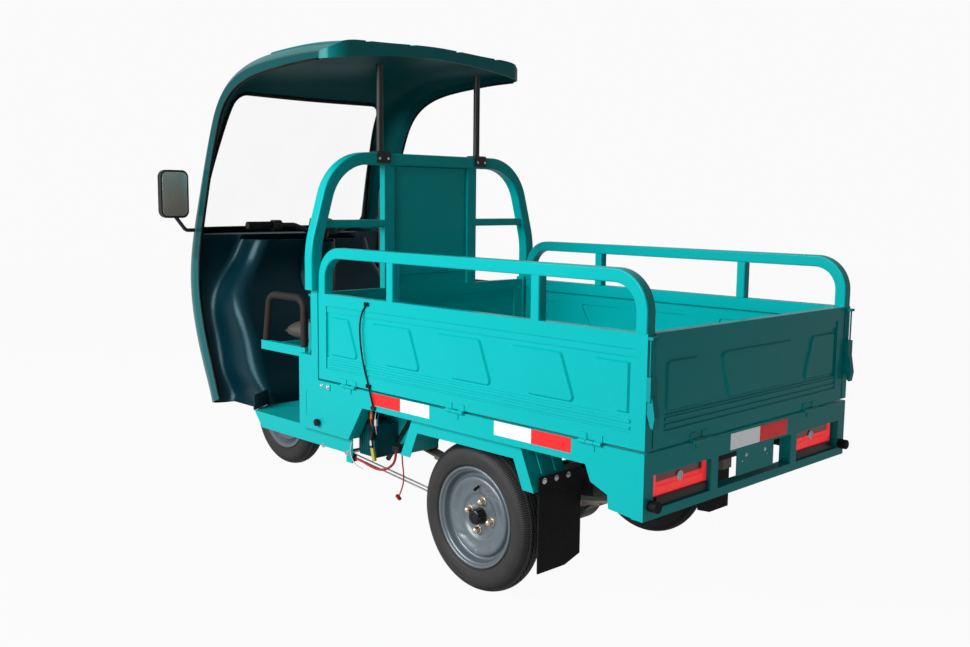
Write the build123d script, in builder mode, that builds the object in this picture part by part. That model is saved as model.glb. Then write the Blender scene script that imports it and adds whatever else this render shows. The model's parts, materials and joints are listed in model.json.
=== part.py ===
from build123d import *
from math import cos, hypot, pi, radians, sin, tan
import os

# Electric cargo tricycle: a drop-side bed on two rear wheels, an open cab under a moulded
# roof, and one steered front wheel. Millimetres. +X forward, +Y left, +Z up; the origin is
# on the floor under the middle of the vehicle's length.

os.makedirs("parts", exist_ok=True)

# ---- driving dimensions -------------------------------------------------------------------
# Bed
tail_x = -1346.0  # rear face of the bed
bed_length = 1500.0
bed_half_width = 555.0
floor_z = 600.0  # top of the load floor
wall_height = 315.0  # drop sides and tailgate, above the floor
wall_thick = 30.0
headboard_thick = 22.0
headboard_setback = 8.0  # its rear face ahead of the corner posts' rear
sheet = 3.0
band_height = 65.0  # edge frame of the floor, below its top
band_thick = 30.0
move_gap = 6.0  # between a panel that moves and its neighbour
post_width = 45.0  # end posts of the drop sides
corner_post = 40.0  # fixed posts at the front of the bed
wall_top_band = 43.0  # plain band along a wall's top
step_depth = 4.0  # shallow step round a wall's pressed field
field_depth = 8.0
field_sheet = 6.0  # metal left in the field
field_top_drop = 65.0  # field below the wall's top
field_bottom_rise = 90.0  # field above the load floor
wall_bottom_band = 42.0
wall_rib = 9.0  # long ribs pressed under the field
pad_height = 6.0
pad_border = 14.0
pad_corner = 16.0
pad_pitch = 328.0
pad_first = 184.0  # top of the first pad's front edge, ahead of the bed's tail
pad_gap = 115.0  # between two pads, along their tops
pad_lean = 85.0  # a pad's front edge leans back by this much towards its foot
pad_back_lean = 55.0
load_plate = 2.0  # tread plate laid on the floor inside the walls
load_plate_gap = 4.0
cross_member = 40.0
cross_member_count = 6

# Hinges of the drop sides and the tailgate
knuckle_radius = 5.5
pin_stand_off = 6.0  # pin axis outside the panel's face
knuckle_length = 26.0
knuckle_gap = 1.5
leaf_thick = 2.5
leaf_drop = 24.0
side_hinge_inset = 180.0  # outer hinges from the bed's ends
gate_hinge_y = 308.0

# Latches at the corners of the bed
latch_z = 770.0
latch_post_inset = 14.0  # latch's middle inside the bed's side
latch_plate = (30.0, 66.0, 14.0)  # width, height, thickness
latch_lever_width = 22.0
latch_lever_drop = 100.0
front_lever_drop = 68.0  # shorter, clear of the seat box
latch_lever_reach = 26.0
bail_radius = 2.5
bail_spread = 9.0
bail_length = 105.0
bail_hook = (16.0, 26.0, 8.0)

# Side rails
rail_top_z = 1080.0
rail_radius = 19.0  # half the width of its square tube
tube_corner = 5.0  # square tubes' rounded edges
rail_corner_radius = 95.0
rail_stanchion_inset = 400.0

# Rear frame under the tailgate
rear_frame_bottom = 415.0
rear_frame_depth = 40.0
rear_tube_height = 26.0
rear_post_width = 36.0
rear_corner_width = 40.0
lamp_width = 250.0
lamp_height = 68.0
lamp_depth = 45.0
lamp_outer_gap = 17.0  # to the corner post
lamp_inner_gap = 5.0  # to the post beside the plate
corner_panel_length = 200.0
plate_width = 205.0
plate_height = 78.0
plate_hole_radius = 3.5
plate_hole_spacing = 140.0
stub_radius = 19.0
stub_length = 42.0
stub_y = 524.0
stub_z = 455.0

# Brake rods and the shaft that pulls them
brake_shaft_x = 200.0
brake_shaft_z = 283.0
brake_shaft_radius = 8.0
brake_shaft_half = 370.0
brake_hanger = (34.0, 8.0)
brake_rod_radius = 3.0
brake_rod_pitch = 13.0
brake_rod_y = 362.0
brake_lever = (16.0, 7.0)
brake_lever_reach = 62.0
brake_lever_z = 208.0

# Splash plate ahead of the left rear wheel
splash_y = 400.0
splash_low_z = 352.0
splash_rear = -245.0
splash_front = -70.0

# Running gear
tyre_radius = 245.0
tyre_width = 96.0
rim_radius = 165.0
rim_width = 80.0
rim_wall = 4.0
bead_seat_drop = 13.0  # seat of the tyre below the rim's edge
bead_half = 34.0
seat_half = 31.0
well_half = 16.0
well_depth = 12.0
wall_bulge_rise = 35.0  # widest place of a tyre above the rim's edge
shoulder_inset = 11.0
shoulder_drop = 17.0
disc_thick = 5.0
# Pressed disc of a wheel: radius, and how far out of the wheel's middle.
disc_profile = [(140.0, 12.0), (126.0, 27.0), (112.0, 28.0), (88.0, 12.0), (66.0, 5.0)]
hub_cap_radius = 24.0
hub_cap_out = 34.0
nut_circle = 50.0
nut_radius = 10.5
nut_height = 15.0
nut_count = 4
valve_hole_radius = 9.0
valve_circle = 103.0
rear_wheel_y = 444.0
rear_axle_setback = 718.0  # axle ahead of the bed's rear face
axle_tube_radius = 30.0
drum_radius = 90.0
drum_width = 46.0
case_radius = 105.0
motor_radius = 85.0
motor_length = 210.0
spring_kick_clear = 42.0  # spring's front end behind the kick of the rails
spring_width = 50.0
spring_leaf = 7.0
spring_leaves = 6
spring_camber = 45.0
rail_y = 290.0
rail_width = 44.0
rail_height = 80.0
kick_setback = 300.0  # where the rails start down, behind the bed's front
kick_run = 88.0

# Fenders and flaps
fender_top_z = 535.0
fender_outer_y = 530.0
fender_inner_y = 372.0
fender_sheet = 3.0
fender_flat = 490.0
fender_foot_span = 610.0
fender_foot_z = 400.0
fender_flange = 46.0
fender_slope_run = 60.0
fender_rib = (78.0, 8.0, 3.0)  # length, width, height of the ribs on its sloping ends
fender_rib_y = 30.0
flap_width = 190.0
flap_bottom_z = 150.0
flap_thick = 5.0
flap_inset = 18.0  # inside the fender's outer face
flap_lap = 45.0  # its top above the fender's foot
flap_cut = (70.0, 22.0)

# Front of the bed, hoop and roof posts
hoop_setback = 15.0  # hoop's centre plane behind the bed's front
hoop_radius = 22.5
hoop_foot_inset = 0.5  # foot's axis inside the bed's side
hoop_top_z = 1422.0
hoop_shoulder_z = 1080.0
hoop_top_half = 460.0
hoop_foot_z = 925.0
mid_bar_z = 1160.0
mid_bar_radius = 14.5
mid_bar_length = 300.0
panel_half_width = 238.0
panel_side_tube = 46.0
panel_field_border = 14.0
panel_field_rise = 45.0
roof_post_y = 250.0
roof_post_radius = 13.0
clamp_width = 62.0
clamp_wall = 6.0

# Cab
deck_z = 410.0
sill_z = 350.0
deck_half_width = 530.0
cab_length = 431.0  # bed's front to the front of the sill
seat_box_depth = 80.0
seat_box_top = 685.0
skirt_rear = 300.0  # side skirt's rear edge behind the bed's front
skirt_slant = 81.0
skirt_return = 45.0  # the skirt's slanted edge folded in
skirt_recess = (112.0, 92.0, 1.2)  # length, height, depth of the panel pressed in it
skirt_recess_place = (20.0, 505.0)  # middle behind the bed's front, height
tab_width = 36.0
tab_bottom_z = 318.0
seat_length = 345.0
seat_gap = 20.0
seat_half_width = 450.0
seat_bottom_z = 692.0
seat_top_z = 775.0
seat_rail_z = 665.0
seat_rail_y = 505.0
seat_bar = 24.0
seat_side_height = 35.0
armrest_top_z = 895.0
armrest_rear = 100.0
armrest_front = 330.0
armrest_lean = 34.0
armrest_radius = 14.0
armrest_bend = 45.0
seat_corner = 45.0
seat_edge = 18.0
seat_back_width = 440.0
seat_back_height = 380.0
seat_back_z = 1120.0
seat_back_thick = 60.0
battery_length = 220.0
battery_half_width = 270.0
battery_height = 235.0

# Moulded roof, pillars and fairing
shell_half_width = 500.0
shell_wall = 6.0
roof_rear = 50.0  # roof's rear edge behind the bed's front
roof_corner = 85.0
roof_rear_lip = 40.0
roof_lip = 22.0  # side lip over the doors
pillar_lip = 46.0  # and down the pillars
lip_change = 0.42  # share of the guide over which the lip deepens
shell_sections = 15
roof_rib = 5.0
roof_rib_gap = 26.0
roof_rib_edges = [105.0, 315.0, 445.0]  # outer sides of the raised pads, from the centre
roof_rib_front = 430.0
# Guide of the moulding's corner: ahead of the bed's front, crown of the section, height.
shell_guide = [
    (-60.0, 50.0, 1776.0),
    (150.0, 73.0, 1771.0),
    (400.0, 82.0, 1760.0),
    (568.0, 90.0, 1730.0),
    (707.0, 105.0, 1648.0),
    (792.0, 126.0, 1502.0),
    (870.0, 156.0, 1280.0),
    (925.0, 186.0, 1100.0),
    (953.0, 216.0, 940.0),
    (938.0, 225.0, 760.0),
    (882.0, 212.0, 585.0),
    (806.0, 182.0, 388.0),
]
screen_bottom_ahead = 900.0
screen_rake_run = 380.0  # how far the pane leans back; the cut starts behind that
shell_reach = 2000.0  # longer than any cut through the moulding
screen_bottom_z = 1115.0
screen_top_z = 1682.0
screen_bottom_half = 446.0
screen_top_half = 385.0
screen_wall = 4.0
screen_corner = 55.0
screen_seat = 1.0  # pane behind the moulding
screen_overlap = 16.0
arch_half_width = 290.0
arch_top_z = 640.0
arch_corner = 120.0
lamp_reach = 1075.0  # back of a headlamp ahead of the bed's front
lamp_lean = 15.0  # degrees it looks outwards
head_lamp_radius = 68.0
head_lamp_y = 265.0
head_lamp_z = 800.0

# Leg shield and dash
leg_wall = 5.0
leg_foot_z = 388.0
leg_design_half = 500.0  # half width of the moulding that the sections below are given for
column_foot = 330.0  # column cover, from and to so far below the bar along the axis
column_top = 28.0
column_foot_radius = 120.0
column_top_radius = 56.0
nose_half = 440.0  # half width of the deck where it meets the hump
nose_run = 52.0  # deck's nose ahead of its corners
leg_gap = 1.0  # between the leg shield and the inside of the moulding
dash_z = 1070.0
dash_thick = 22.0
toe_height = 60.0
toe_reach = 18.0  # guards run on into the hump's rounded corner

# Steering
rake = 18.0
head_top_ahead = 700.0  # steering axis at the bar's height, ahead of the bed's front
bar_z = 1100.0
stem_radius = 17.0
head_tube_radius = 30.0
head_tube_length = 170.0
crown_along = 560.0  # lower crown below the bar, along the axis
fork_leg_y = 82.0
fork_leg_radius = 19.0
running_gap = 1.0
front_axle_radius = 8.0
bar_radius = 11.0
grip_radius = 16.5
grip_length = 120.0
bar_half_width = 380.0
front_fender_gap = 28.0
front_fender_width = 116.0
mirror_height = 200.0
mirror_width = 125.0
mirror_depth = 42.0
mirror_corner = 30.0
mirror_back_round = 18.0
mirror_setback = 950.0  # ahead of the bed's front
mirror_out = 90.0  # middle of the glass beyond the moulding's side
mirror_z = 1262.0
mirror_arm_z = 1110.0
mirror_arm_radius = 8.0
mirror_arm_out = 40.0
mirror_arm_rise = 70.0
mirror_arm_bend = 22.0
bar_rise = 34.0
bar_bends = (60.0, 150.0)  # where the bar starts and ends its rise
bar_pull = 10.0
bar_bend_radius = 50.0
pod_radius = 23.0
meter_size = (116.0, 78.0, 36.0)
meter_ahead = 14.0
clamp_top = -14.0  # handlebar clamp's top along the axis

# Small cables at the left side, as the points of their straight runs
side_cable_radius = 3.0
side_cable_y = 558.5
side_cable_points = [
    (-176.0, side_cable_y, 898.0),
    (-150.0, side_cable_y, 868.0),
    (-137.0, side_cable_y, 822.0),
    (-142.0, side_cable_y, 752.0),
    (-160.0, side_cable_y, 683.0),
    (-186.0, side_cable_y, 618.0),
]
cable_clip = (20.0, 12.0)  # length and height of a clip
cable_clip_proud = 8.0  # how far it stands off the sheet
loom_points = [
    (-212.0, 559.0, 540.0),
    (-212.0, 559.0, 506.0),
    (-186.0, 537.5, 478.0),
    (-167.0, 527.0, 448.0),
    (-154.0, 521.0, 415.0),
    (-158.0, 520.0, 392.0),
]
loom_plug_size = (16.0, 11.0, 46.0)
hose_radius = 4.5
hose_points = [
    (-50.0, 516.0, 334.0),
    (-86.0, 516.0, 334.0),
    (-124.0, 502.0, 316.0),
    (-160.0, 484.0, 305.0),
    (-190.0, 465.0, 319.0),
    (-206.0, 455.0, 347.0),
    (-206.0, 455.0, 378.0),
]
hose_block = (20.0, 24.0)
strap_radius = 2.5
strap_points = [
    (-222.0, 440.0, 378.0),
    (-222.0, 440.0, 346.0),
    (-230.0, 440.0, 308.0),
    (-231.0, 440.0, 270.0),
    (-218.0, 440.0, 237.0),
    (-204.0, 440.0, 212.0),
]
strap_foot_size = (24.0, 12.0, 7.0)
widest_arc = 400.0

# ---- places worked out from them ----------------------------------------------------------
bed_front_x = tail_x + bed_length
wall_top_z = floor_z + wall_height
band_bottom_z = floor_z - band_height
bed_inner_y = bed_half_width - wall_thick
gate_half_width = bed_inner_y - move_gap
wall_bottom_z = floor_z + move_gap
corner_post_x = bed_front_x - corner_post
side_front_x = corner_post_x - move_gap
side_length = side_front_x - tail_x
rear_axle_x = tail_x + rear_axle_setback
side_pin_y = bed_half_width + pin_stand_off
gate_pin_x = tail_x - pin_stand_off
hoop_x = bed_front_x - hoop_setback
hoop_foot_y = bed_half_width - hoop_foot_inset
corner_inner_y = bed_half_width - sheet - rear_corner_width
lamp_y = corner_inner_y - lamp_outer_gap - lamp_width / 2
rear_post_y = lamp_y - lamp_width / 2 - lamp_inner_gap - rear_post_width / 2
kick_rear_x = bed_front_x - kick_setback
kick_front_x = kick_rear_x + kick_run
spring_half_span = kick_rear_x - spring_kick_clear - rear_axle_x
deck_front_x = bed_front_x + cab_length
deck_nose_x = deck_front_x + nose_run
head_x = bed_front_x + head_top_ahead
axis_down = (sin(radians(rake)), 0.0, -cos(radians(rake)))
axle_along = (bar_z - tyre_radius) / cos(radians(rake))
front_axle_x = head_x + axle_along * axis_down[0]


def cord_line(name, points, radius):
    """Line of a cord: straight runs with the widest arcs that its corners allow."""
    places = [Vector(*point) for point in points]
    arcs = []
    for before, corner, after in zip(places, places[1:], places[2:]):
        run_in = corner - before
        run_out = after - corner
        half_turn = radians(run_in.get_angle(run_out)) / 2
        arcs.append(min(widest_arc, 0.45 * min(run_in.length, run_out.length) / tan(half_turn)))
    line = FilletPolyline(*points, radius=arcs)
    print(name, "tightest arc", round(min(arcs), 1), "length", round(line.length, 1), "radius", radius)
    return line


def on_steering_axis(along):
    """Point of the steering axis, so far below the bar along the axis."""
    return Vector(head_x + along * axis_down[0], 0, bar_z + along * axis_down[2])


def steering_plane(along):
    """Plane square to the steering axis; local X is the vehicle's left, Z points down it."""
    return Plane(on_steering_axis(along), x_dir=(0, 1, 0), z_dir=axis_down)


# ---- bed ----------------------------------------------------------------------------------
side_hinge_places = (side_hinge_inset, side_length / 2, side_length - side_hinge_inset)
load_front_x = corner_post_x - load_plate_gap
load_rear_x = tail_x + wall_thick + load_plate_gap
with BuildPart() as bed_floor:
    with BuildSketch(Plane.XY.offset(floor_z - load_plate - sheet)):
        with Locations((tail_x + bed_length / 2, 0)):
            Rectangle(bed_length, 2 * bed_half_width)
    extrude(amount=sheet)
    # tread plate between the walls
    with BuildSketch(Plane.XY.offset(floor_z - load_plate)):
        with Locations(((load_rear_x + load_front_x) / 2, 0)):
            Rectangle(load_front_x - load_rear_x, 2 * (bed_inner_y - load_plate_gap))
    extrude(amount=load_plate)
    # edge frame with a lip folded out along its foot
    with BuildSketch(Plane.XY.offset(band_bottom_z)):
        with Locations((tail_x + bed_length / 2, 0)):
            Rectangle(bed_length, 2 * bed_half_width)
            Rectangle(bed_length - 2 * band_thick, 2 * (bed_half_width - band_thick), mode=Mode.SUBTRACT)
    extrude(amount=band_height - load_plate - sheet)
    with BuildSketch(Plane.XY.offset(floor_z - load_plate - sheet - cross_member)):
        with Locations((tail_x + bed_length / 2, 0)):
            with GridLocations(bed_length / cross_member_count, 0, cross_member_count - 1, 1):
                Rectangle(cross_member, 2 * (bed_half_width - band_thick))
    extrude(amount=cross_member)
    # fixed leaves and middle knuckles of the hinges
    for side in (1, -1):
        for hinge_x in side_hinge_places:
            with BuildSketch(Plane.YZ.offset(tail_x + hinge_x - knuckle_length / 2)):
                with Locations((side * side_pin_y, floor_z)):
                    Circle(knuckle_radius)
                with Locations((side * (bed_half_width + leaf_thick / 2), floor_z - leaf_drop / 2)):
                    Rectangle(leaf_thick, leaf_drop)
            extrude(amount=knuckle_length)
    for hinge_y in (gate_hinge_y, -gate_hinge_y):
        with BuildSketch(Plane.XZ.offset(-hinge_y - knuckle_length / 2)):
            with Locations((gate_pin_x, floor_z)):
                Circle(knuckle_radius)
            with Locations((tail_x - leaf_thick / 2, floor_z - leaf_drop / 2)):
                Rectangle(leaf_thick, leaf_drop)
        extrude(amount=knuckle_length)
bed_floor.part.label = "bed_floor"
export_step(bed_floor.part, "parts/bed_floor.step")

# ---- pressed walls: drop sides, tailgate and headboard -------------------------------------
step_low_z = wall_bottom_z + wall_bottom_band
step_high_z = wall_top_z - wall_top_band
field_low_z = floor_z + field_bottom_rise
field_high_z = wall_top_z - field_top_drop
pad_low_z = field_low_z + pad_border / 2
pad_high_z = field_high_z - pad_border


def pad_outline(low_rear, low_front, high_front, high_rear, corner=pad_corner):
    """One raised pad of a pressed field, from its corners along the wall."""
    with BuildSketch() as outline:
        with BuildLine():
            Polyline(
                (low_rear, pad_low_z),
                (low_front, pad_low_z),
                (high_front, pad_high_z),
                (high_rear, pad_high_z),
                close=True,
            )
        make_face()
        fillet(outline.vertices(), radius=corner)
    return outline.sketch


def side_pads():
    """Raised pads of a drop side: whole ones, and a cut one at each end of the field."""
    start = tail_x + post_width + pad_border
    end = tail_x + side_length - post_width - pad_border
    first = tail_x + pad_first
    pads = [pad_outline(start, first - pad_lean, first, start, pad_corner / 4)]
    rear = first + pad_gap
    while rear + pad_pitch - pad_gap < end:
        front = rear + pad_pitch - pad_gap
        pads.append(pad_outline(rear - pad_back_lean, front - pad_lean, front, rear))
        rear += pad_pitch
    pads.append(pad_outline(rear - pad_back_lean, end, end, rear))
    return pads


def gate_pads():
    """Raised pads of the tailgate: a broad one in the middle and one at each end."""
    end = gate_half_width - post_width - pad_border
    middle_low, middle_high = 0.30 * gate_half_width, 0.39 * gate_half_width
    side_low, side_high = middle_low + pad_gap, middle_high + pad_gap
    return [
        pad_outline(-middle_low, middle_low, middle_high, -middle_high),
        pad_outline(side_low, end, end, side_high),
        pad_outline(-end, -side_low, -side_high, -end),
    ]


def pressed_wall(face, inward, start, end, pads):
    """Wall pressed from sheet between posts; face is its outer plane, local X along it."""
    middle = (start + end) / 2
    with BuildPart() as wall:
        with BuildSketch(face):
            with Locations((middle, (wall_bottom_z + wall_top_z) / 2)):
                Rectangle(end - start, wall_top_z - wall_bottom_z)
        extrude(amount=inward * wall_thick)
        for low, high, depth in (
            (step_low_z, step_high_z, step_depth),
            (field_low_z, field_high_z, field_depth),
        ):
            with BuildSketch(face):
                with Locations((middle, (low + high) / 2)):
                    Rectangle(end - start - 2 * post_width, high - low)
            extrude(amount=inward * depth, mode=Mode.SUBTRACT)
        # long ribs under the field
        with BuildSketch(face):
            with Locations((middle, (step_low_z + field_low_z) / 2)):
                with GridLocations(1, 2 * wall_rib, 1, 2):
                    SlotOverall(end - start - 2 * post_width - pad_border, wall_rib)
        extrude(amount=inward * step_depth)
        # hollow of the inner face
        back = face.offset(inward * wall_thick)
        with BuildSketch(back):
            with Locations((middle, (step_low_z + step_high_z) / 2)):
                Rectangle(end - start - 2 * post_width, step_high_z - step_low_z)
        extrude(amount=-inward * (wall_thick - field_depth - field_sheet), mode=Mode.SUBTRACT)
        for pad in pads:
            with BuildSketch(face.offset(inward * field_depth)):
                add(pad)
            extrude(amount=-inward * pad_height, taper=40)
            with BuildSketch(face.offset(inward * (field_depth + field_sheet))):
                add(offset(pad, amount=-field_sheet, mode=Mode.PRIVATE))
            extrude(amount=-inward * (pad_height - 1), mode=Mode.SUBTRACT)
    return wall.part


def drop_side(side):
    """A drop side with its hinge knuckles."""
    with BuildPart() as panel:
        face = Plane.XZ.offset(-side * bed_half_width)
        add(pressed_wall(face, side, tail_x, tail_x + side_length, side_pads()))
        for hinge_x in side_hinge_places:
            for end in (1, -1):
                start = tail_x + hinge_x + end * (knuckle_length / 2 + knuckle_gap)
                with BuildSketch(Plane.YZ.offset(start)):
                    with Locations((side * side_pin_y, floor_z)):
                        Circle(knuckle_radius)
                    with Locations((side * (bed_half_width + leaf_thick / 2), floor_z + leaf_drop / 2)):
                        Rectangle(leaf_thick, leaf_drop)
                extrude(amount=end * knuckle_length)
    return panel.part


def side_rail(side):
    """Bent rail standing on a drop side, with two stanchions."""
    rail_y_ = side * (bed_half_width - wall_thick / 2 - 2)
    rear_x = tail_x + rail_radius + 2
    front_x = side_front_x - rail_radius - 2
    top_z = rail_top_z - rail_radius
    with BuildPart() as rail:
        with BuildLine() as path:
            FilletPolyline(
                (rear_x, rail_y_, wall_top_z),
                (rear_x, rail_y_, top_z),
                (front_x, rail_y_, top_z),
                (front_x, rail_y_, wall_top_z),
                radius=rail_corner_radius,
            )
        with BuildSketch(Plane.XY.offset(wall_top_z)):
            with Locations((rear_x, rail_y_)):
                RectangleRounded(2 * rail_radius, 2 * rail_radius, tube_corner)
        sweep()
        for post_x in (tail_x + rail_stanchion_inset, side_front_x - rail_stanchion_inset):
            with BuildSketch(Plane.XY.offset(wall_top_z)):
                with Locations((post_x, rail_y_)):
                    RectangleRounded(2 * rail_radius - 4, 2 * rail_radius - 4, tube_corner)
            extrude(amount=top_z - wall_top_z)
    return rail.part


def latch(face, side, corner_y, base_z, lever_drop):
    """Over-centre latch on a face across the vehicle: base, wire bail and lever."""
    plate_width, plate_height, plate_thick = latch_plate
    hook_reach, hook_width, hook_height = bail_hook
    foot_z = base_z - plate_height / 2
    bail_x = face - plate_thick / 2
    with BuildPart() as body:
        with BuildSketch(Plane.YZ.offset(face)):
            with Locations((side * corner_y, base_z)):
                RectangleRounded(plate_width, plate_height, bail_radius)
        extrude(amount=-plate_thick)
        # lever, bellied away from the post towards its free end
        with BuildSketch(Plane.XZ.offset(-side * corner_y - latch_lever_width / 2)):
            with BuildLine():
                Polyline(
                    (face, foot_z + plate_thick),
                    (face - plate_thick - bail_radius, foot_z + plate_thick),
                    (face - latch_lever_reach, foot_z - 0.4 * lever_drop),
                    (face - 0.8 * latch_lever_reach, foot_z - 0.7 * lever_drop),
                    (face - 0.5 * latch_lever_reach, foot_z - 0.66 * lever_drop),
                    (face, foot_z - 0.3 * lever_drop),
                    close=True,
                )
            make_face()
        extrude(amount=latch_lever_width)
        for arm in (-bail_spread, bail_spread):
            with BuildSketch(Plane.XY.offset(base_z + plate_height / 2 - bail_radius)):
                with Locations((bail_x, side * corner_y + arm)):
                    Circle(bail_radius)
            extrude(amount=bail_length)
        with BuildSketch(Plane.XY.offset(base_z + plate_height / 2 + bail_length - hook_height)):
            with Locations((face - hook_reach / 2, side * corner_y)):
                Rectangle(hook_reach, hook_width)
        extrude(amount=hook_height)
    return body.part


for name, side in (("left", 1), ("right", -1)):
    side_panel = drop_side(side)
    side_panel.label = f"side_{name}_panel"
    export_step(side_panel, f"parts/side_{name}_panel.step")
    rail = side_rail(side)
    rail.label = f"side_{name}_rail"
    export_step(rail, f"parts/side_{name}_rail.step")
    rear_latch = latch(tail_x, side, bed_half_width - latch_post_inset, latch_z, latch_lever_drop)
    rear_latch.label = f"side_{name}_latch"
    export_step(rear_latch, f"parts/side_{name}_latch.step")

with BuildPart() as tailgate:
    add(pressed_wall(Plane.YZ.offset(tail_x), 1, -gate_half_width, gate_half_width, gate_pads()))
    for hinge_y in (gate_hinge_y, -gate_hinge_y):
        for end in (1, -1):
            start = hinge_y + end * (knuckle_length / 2 + knuckle_gap)
            with BuildSketch(Plane.XZ.offset(-start)):
                with Locations((gate_pin_x, floor_z)):
                    Circle(knuckle_radius)
                with Locations((tail_x - leaf_thick / 2, floor_z + leaf_drop / 2)):
                    Rectangle(leaf_thick, leaf_drop)
            extrude(amount=-end * knuckle_length)
tailgate.part.label = "tailgate"
export_step(tailgate.part, "parts/tailgate.step")

with BuildPart() as headboard:
    board_half = bed_half_width - corner_post
    for side in (1, -1):
        with BuildSketch(Plane.XY.offset(floor_z - load_plate)):
            with Locations((corner_post_x + corner_post / 2, side * (bed_half_width - corner_post / 2))):
                Rectangle(corner_post, corner_post)
        extrude(amount=hoop_foot_z - floor_z + load_plate)
    with BuildSketch(Plane.YZ.offset(corner_post_x + headboard_setback)):
        with Locations((0, (floor_z - load_plate + wall_top_z) / 2)):
            Rectangle(2 * board_half, wall_height + load_plate)
    extrude(amount=headboard_thick)
    for low, high, depth in (
        (step_low_z, step_high_z, step_depth),
        (field_low_z, field_high_z, field_depth),
    ):
        with BuildSketch(Plane.YZ.offset(corner_post_x + headboard_setback)):
            with Locations((0, (low + high) / 2)):
                Rectangle(2 * (board_half - post_width), high - low)
        extrude(amount=depth, mode=Mode.SUBTRACT)
    with BuildSketch(Plane.YZ.offset(corner_post_x + headboard_setback)):
        with Locations((0, (step_low_z + field_low_z) / 2)):
            with GridLocations(1, 2 * wall_rib, 1, 2):
                SlotOverall(2 * (board_half - post_width) - pad_border, wall_rib)
    extrude(amount=step_depth)
headboard.part.label = "headboard"
export_step(headboard.part, "parts/headboard.step")

with BuildPart() as front_latches:
    for side in (1, -1):
        front_latch = latch(-bed_front_x, side, bed_half_width - latch_post_inset, latch_z, front_lever_drop)
        add(mirror(front_latch, about=Plane.YZ, mode=Mode.PRIVATE))
front_latches.part.label = "front_latches"
export_step(front_latches.part, "parts/front_latches.step")

# ---- hoop and roof posts ------------------------------------------------------------------
hoop_top_axis = hoop_top_z - hoop_radius
with BuildPart() as hoop:
    with BuildLine() as hoop_path:
        FilletPolyline(
            (hoop_x, -hoop_foot_y, hoop_foot_z),
            (hoop_x, -hoop_foot_y, hoop_shoulder_z),
            (hoop_x, -hoop_top_half, hoop_top_axis),
            (hoop_x, hoop_top_half, hoop_top_axis),
            (hoop_x, hoop_foot_y, hoop_shoulder_z),
            (hoop_x, hoop_foot_y, hoop_foot_z),
            radius=[330, 190, 190, 330],
        )
    with BuildSketch(Plane(hoop_path.line @ 0, z_dir=hoop_path.line % 0)):
        RectangleRounded(2 * hoop_radius, 2 * hoop_radius, tube_corner)
    sweep()
    for side in (1, -1):
        with BuildSketch(Plane.XZ.offset(-side * panel_half_width)):
            with Locations((hoop_x, mid_bar_z)):
                RectangleRounded(2 * mid_bar_radius, 2 * mid_bar_radius, tube_corner)
        extrude(amount=-side * mid_bar_length)
hoop.part.label = "hoop"
export_step(hoop.part, "parts/hoop.step")

with BuildPart() as hoop_panel:
    for side in (1, -1):
        with BuildSketch(Plane.XY.offset(wall_top_z)):
            with Locations((hoop_x, side * (panel_half_width - panel_side_tube / 2))):
                Rectangle(2 * mid_bar_radius, panel_side_tube)
        extrude(amount=hoop_top_axis - wall_top_z)
    with BuildSketch(Plane.YZ.offset(hoop_x - sheet)):
        with Locations((0, (wall_top_z + hoop_top_axis) / 2)):
            Rectangle(2 * (panel_half_width - panel_side_tube), hoop_top_axis - wall_top_z)
    extrude(amount=2 * sheet)
    # pressed field, raised towards the rear
    field_half = panel_half_width - panel_side_tube - panel_field_border
    with BuildSketch(Plane.YZ.offset(hoop_x - sheet)):
        with Locations((0, (wall_top_z + hoop_top_z) / 2)):
            RectangleRounded(2 * field_half, hoop_top_z - wall_top_z - 2 * panel_field_rise, panel_field_border)
    extrude(amount=-sheet, taper=45)
    # coped over the hoop's top tube
    with BuildSketch(Plane.XZ.offset(-bed_half_width)):
        with Locations((hoop_x, hoop_top_axis)):
            RectangleRounded(2 * hoop_radius, 2 * hoop_radius, tube_corner)
    extrude(amount=2 * bed_half_width, mode=Mode.SUBTRACT)
hoop_panel.part.label = "hoop_panel"
export_step(hoop_panel.part, "parts/hoop_panel.step")


# ---- moulded roof, pillars and fairing ----------------------------------------------------
with BuildLine() as shell_line:
    # its Y holds the crown of the section at that place
    Spline(*[(bed_front_x + ahead, crown, height) for ahead, crown, height in shell_guide])


def shell_form(inset, lip_extra=0.0, last=shell_sections - 1):
    """Filled form of the moulding, so far inside its outer face, by lofting its sections."""
    half = shell_half_width - inset
    with BuildPart() as form:
        for section in range(last + 1):
            share = section / (shell_sections - 1)
            place = shell_line.line @ share
            heading = shell_line.line % share
            along = Vector(heading.X, 0, heading.Z).normalized()
            lip = roof_lip + (pillar_lip - roof_lip) * min(1, share / lip_change)
            rim = -lip - lip_extra
            top = place.Y - inset
            with BuildSketch(Plane((place.X, 0, place.Z), x_dir=(0, 1, 0), z_dir=along)):
                with BuildLine():
                    Line((-half, 0), (-half, rim))
                    Line((-half, rim), (half, rim))
                    Line((half, rim), (half, 0))
                    Spline(
                        (half, 0),
                        (0.94 * half, 0.36 * top),
                        (0.62 * half, 0.80 * top),
                        (0, top),
                        (-0.62 * half, 0.80 * top),
                        (-0.94 * half, 0.36 * top),
                        (-half, 0),
                    )
                make_face()
        loft()
    return form.part


def roof_plan(inset):
    """Plan of the moulding with its rounded rear corners, over its whole height."""
    rear = bed_front_x - roof_rear + inset
    with BuildPart() as plan:
        with BuildSketch() as outline:
            with Locations((rear + shell_reach / 2, 0)):
                Rectangle(shell_reach, 2 * (shell_half_width - inset))
            fillet(outline.vertices().group_by(Axis.X)[0], radius=roof_corner - inset)
        extrude(amount=shell_reach)
    return plan.part


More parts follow.
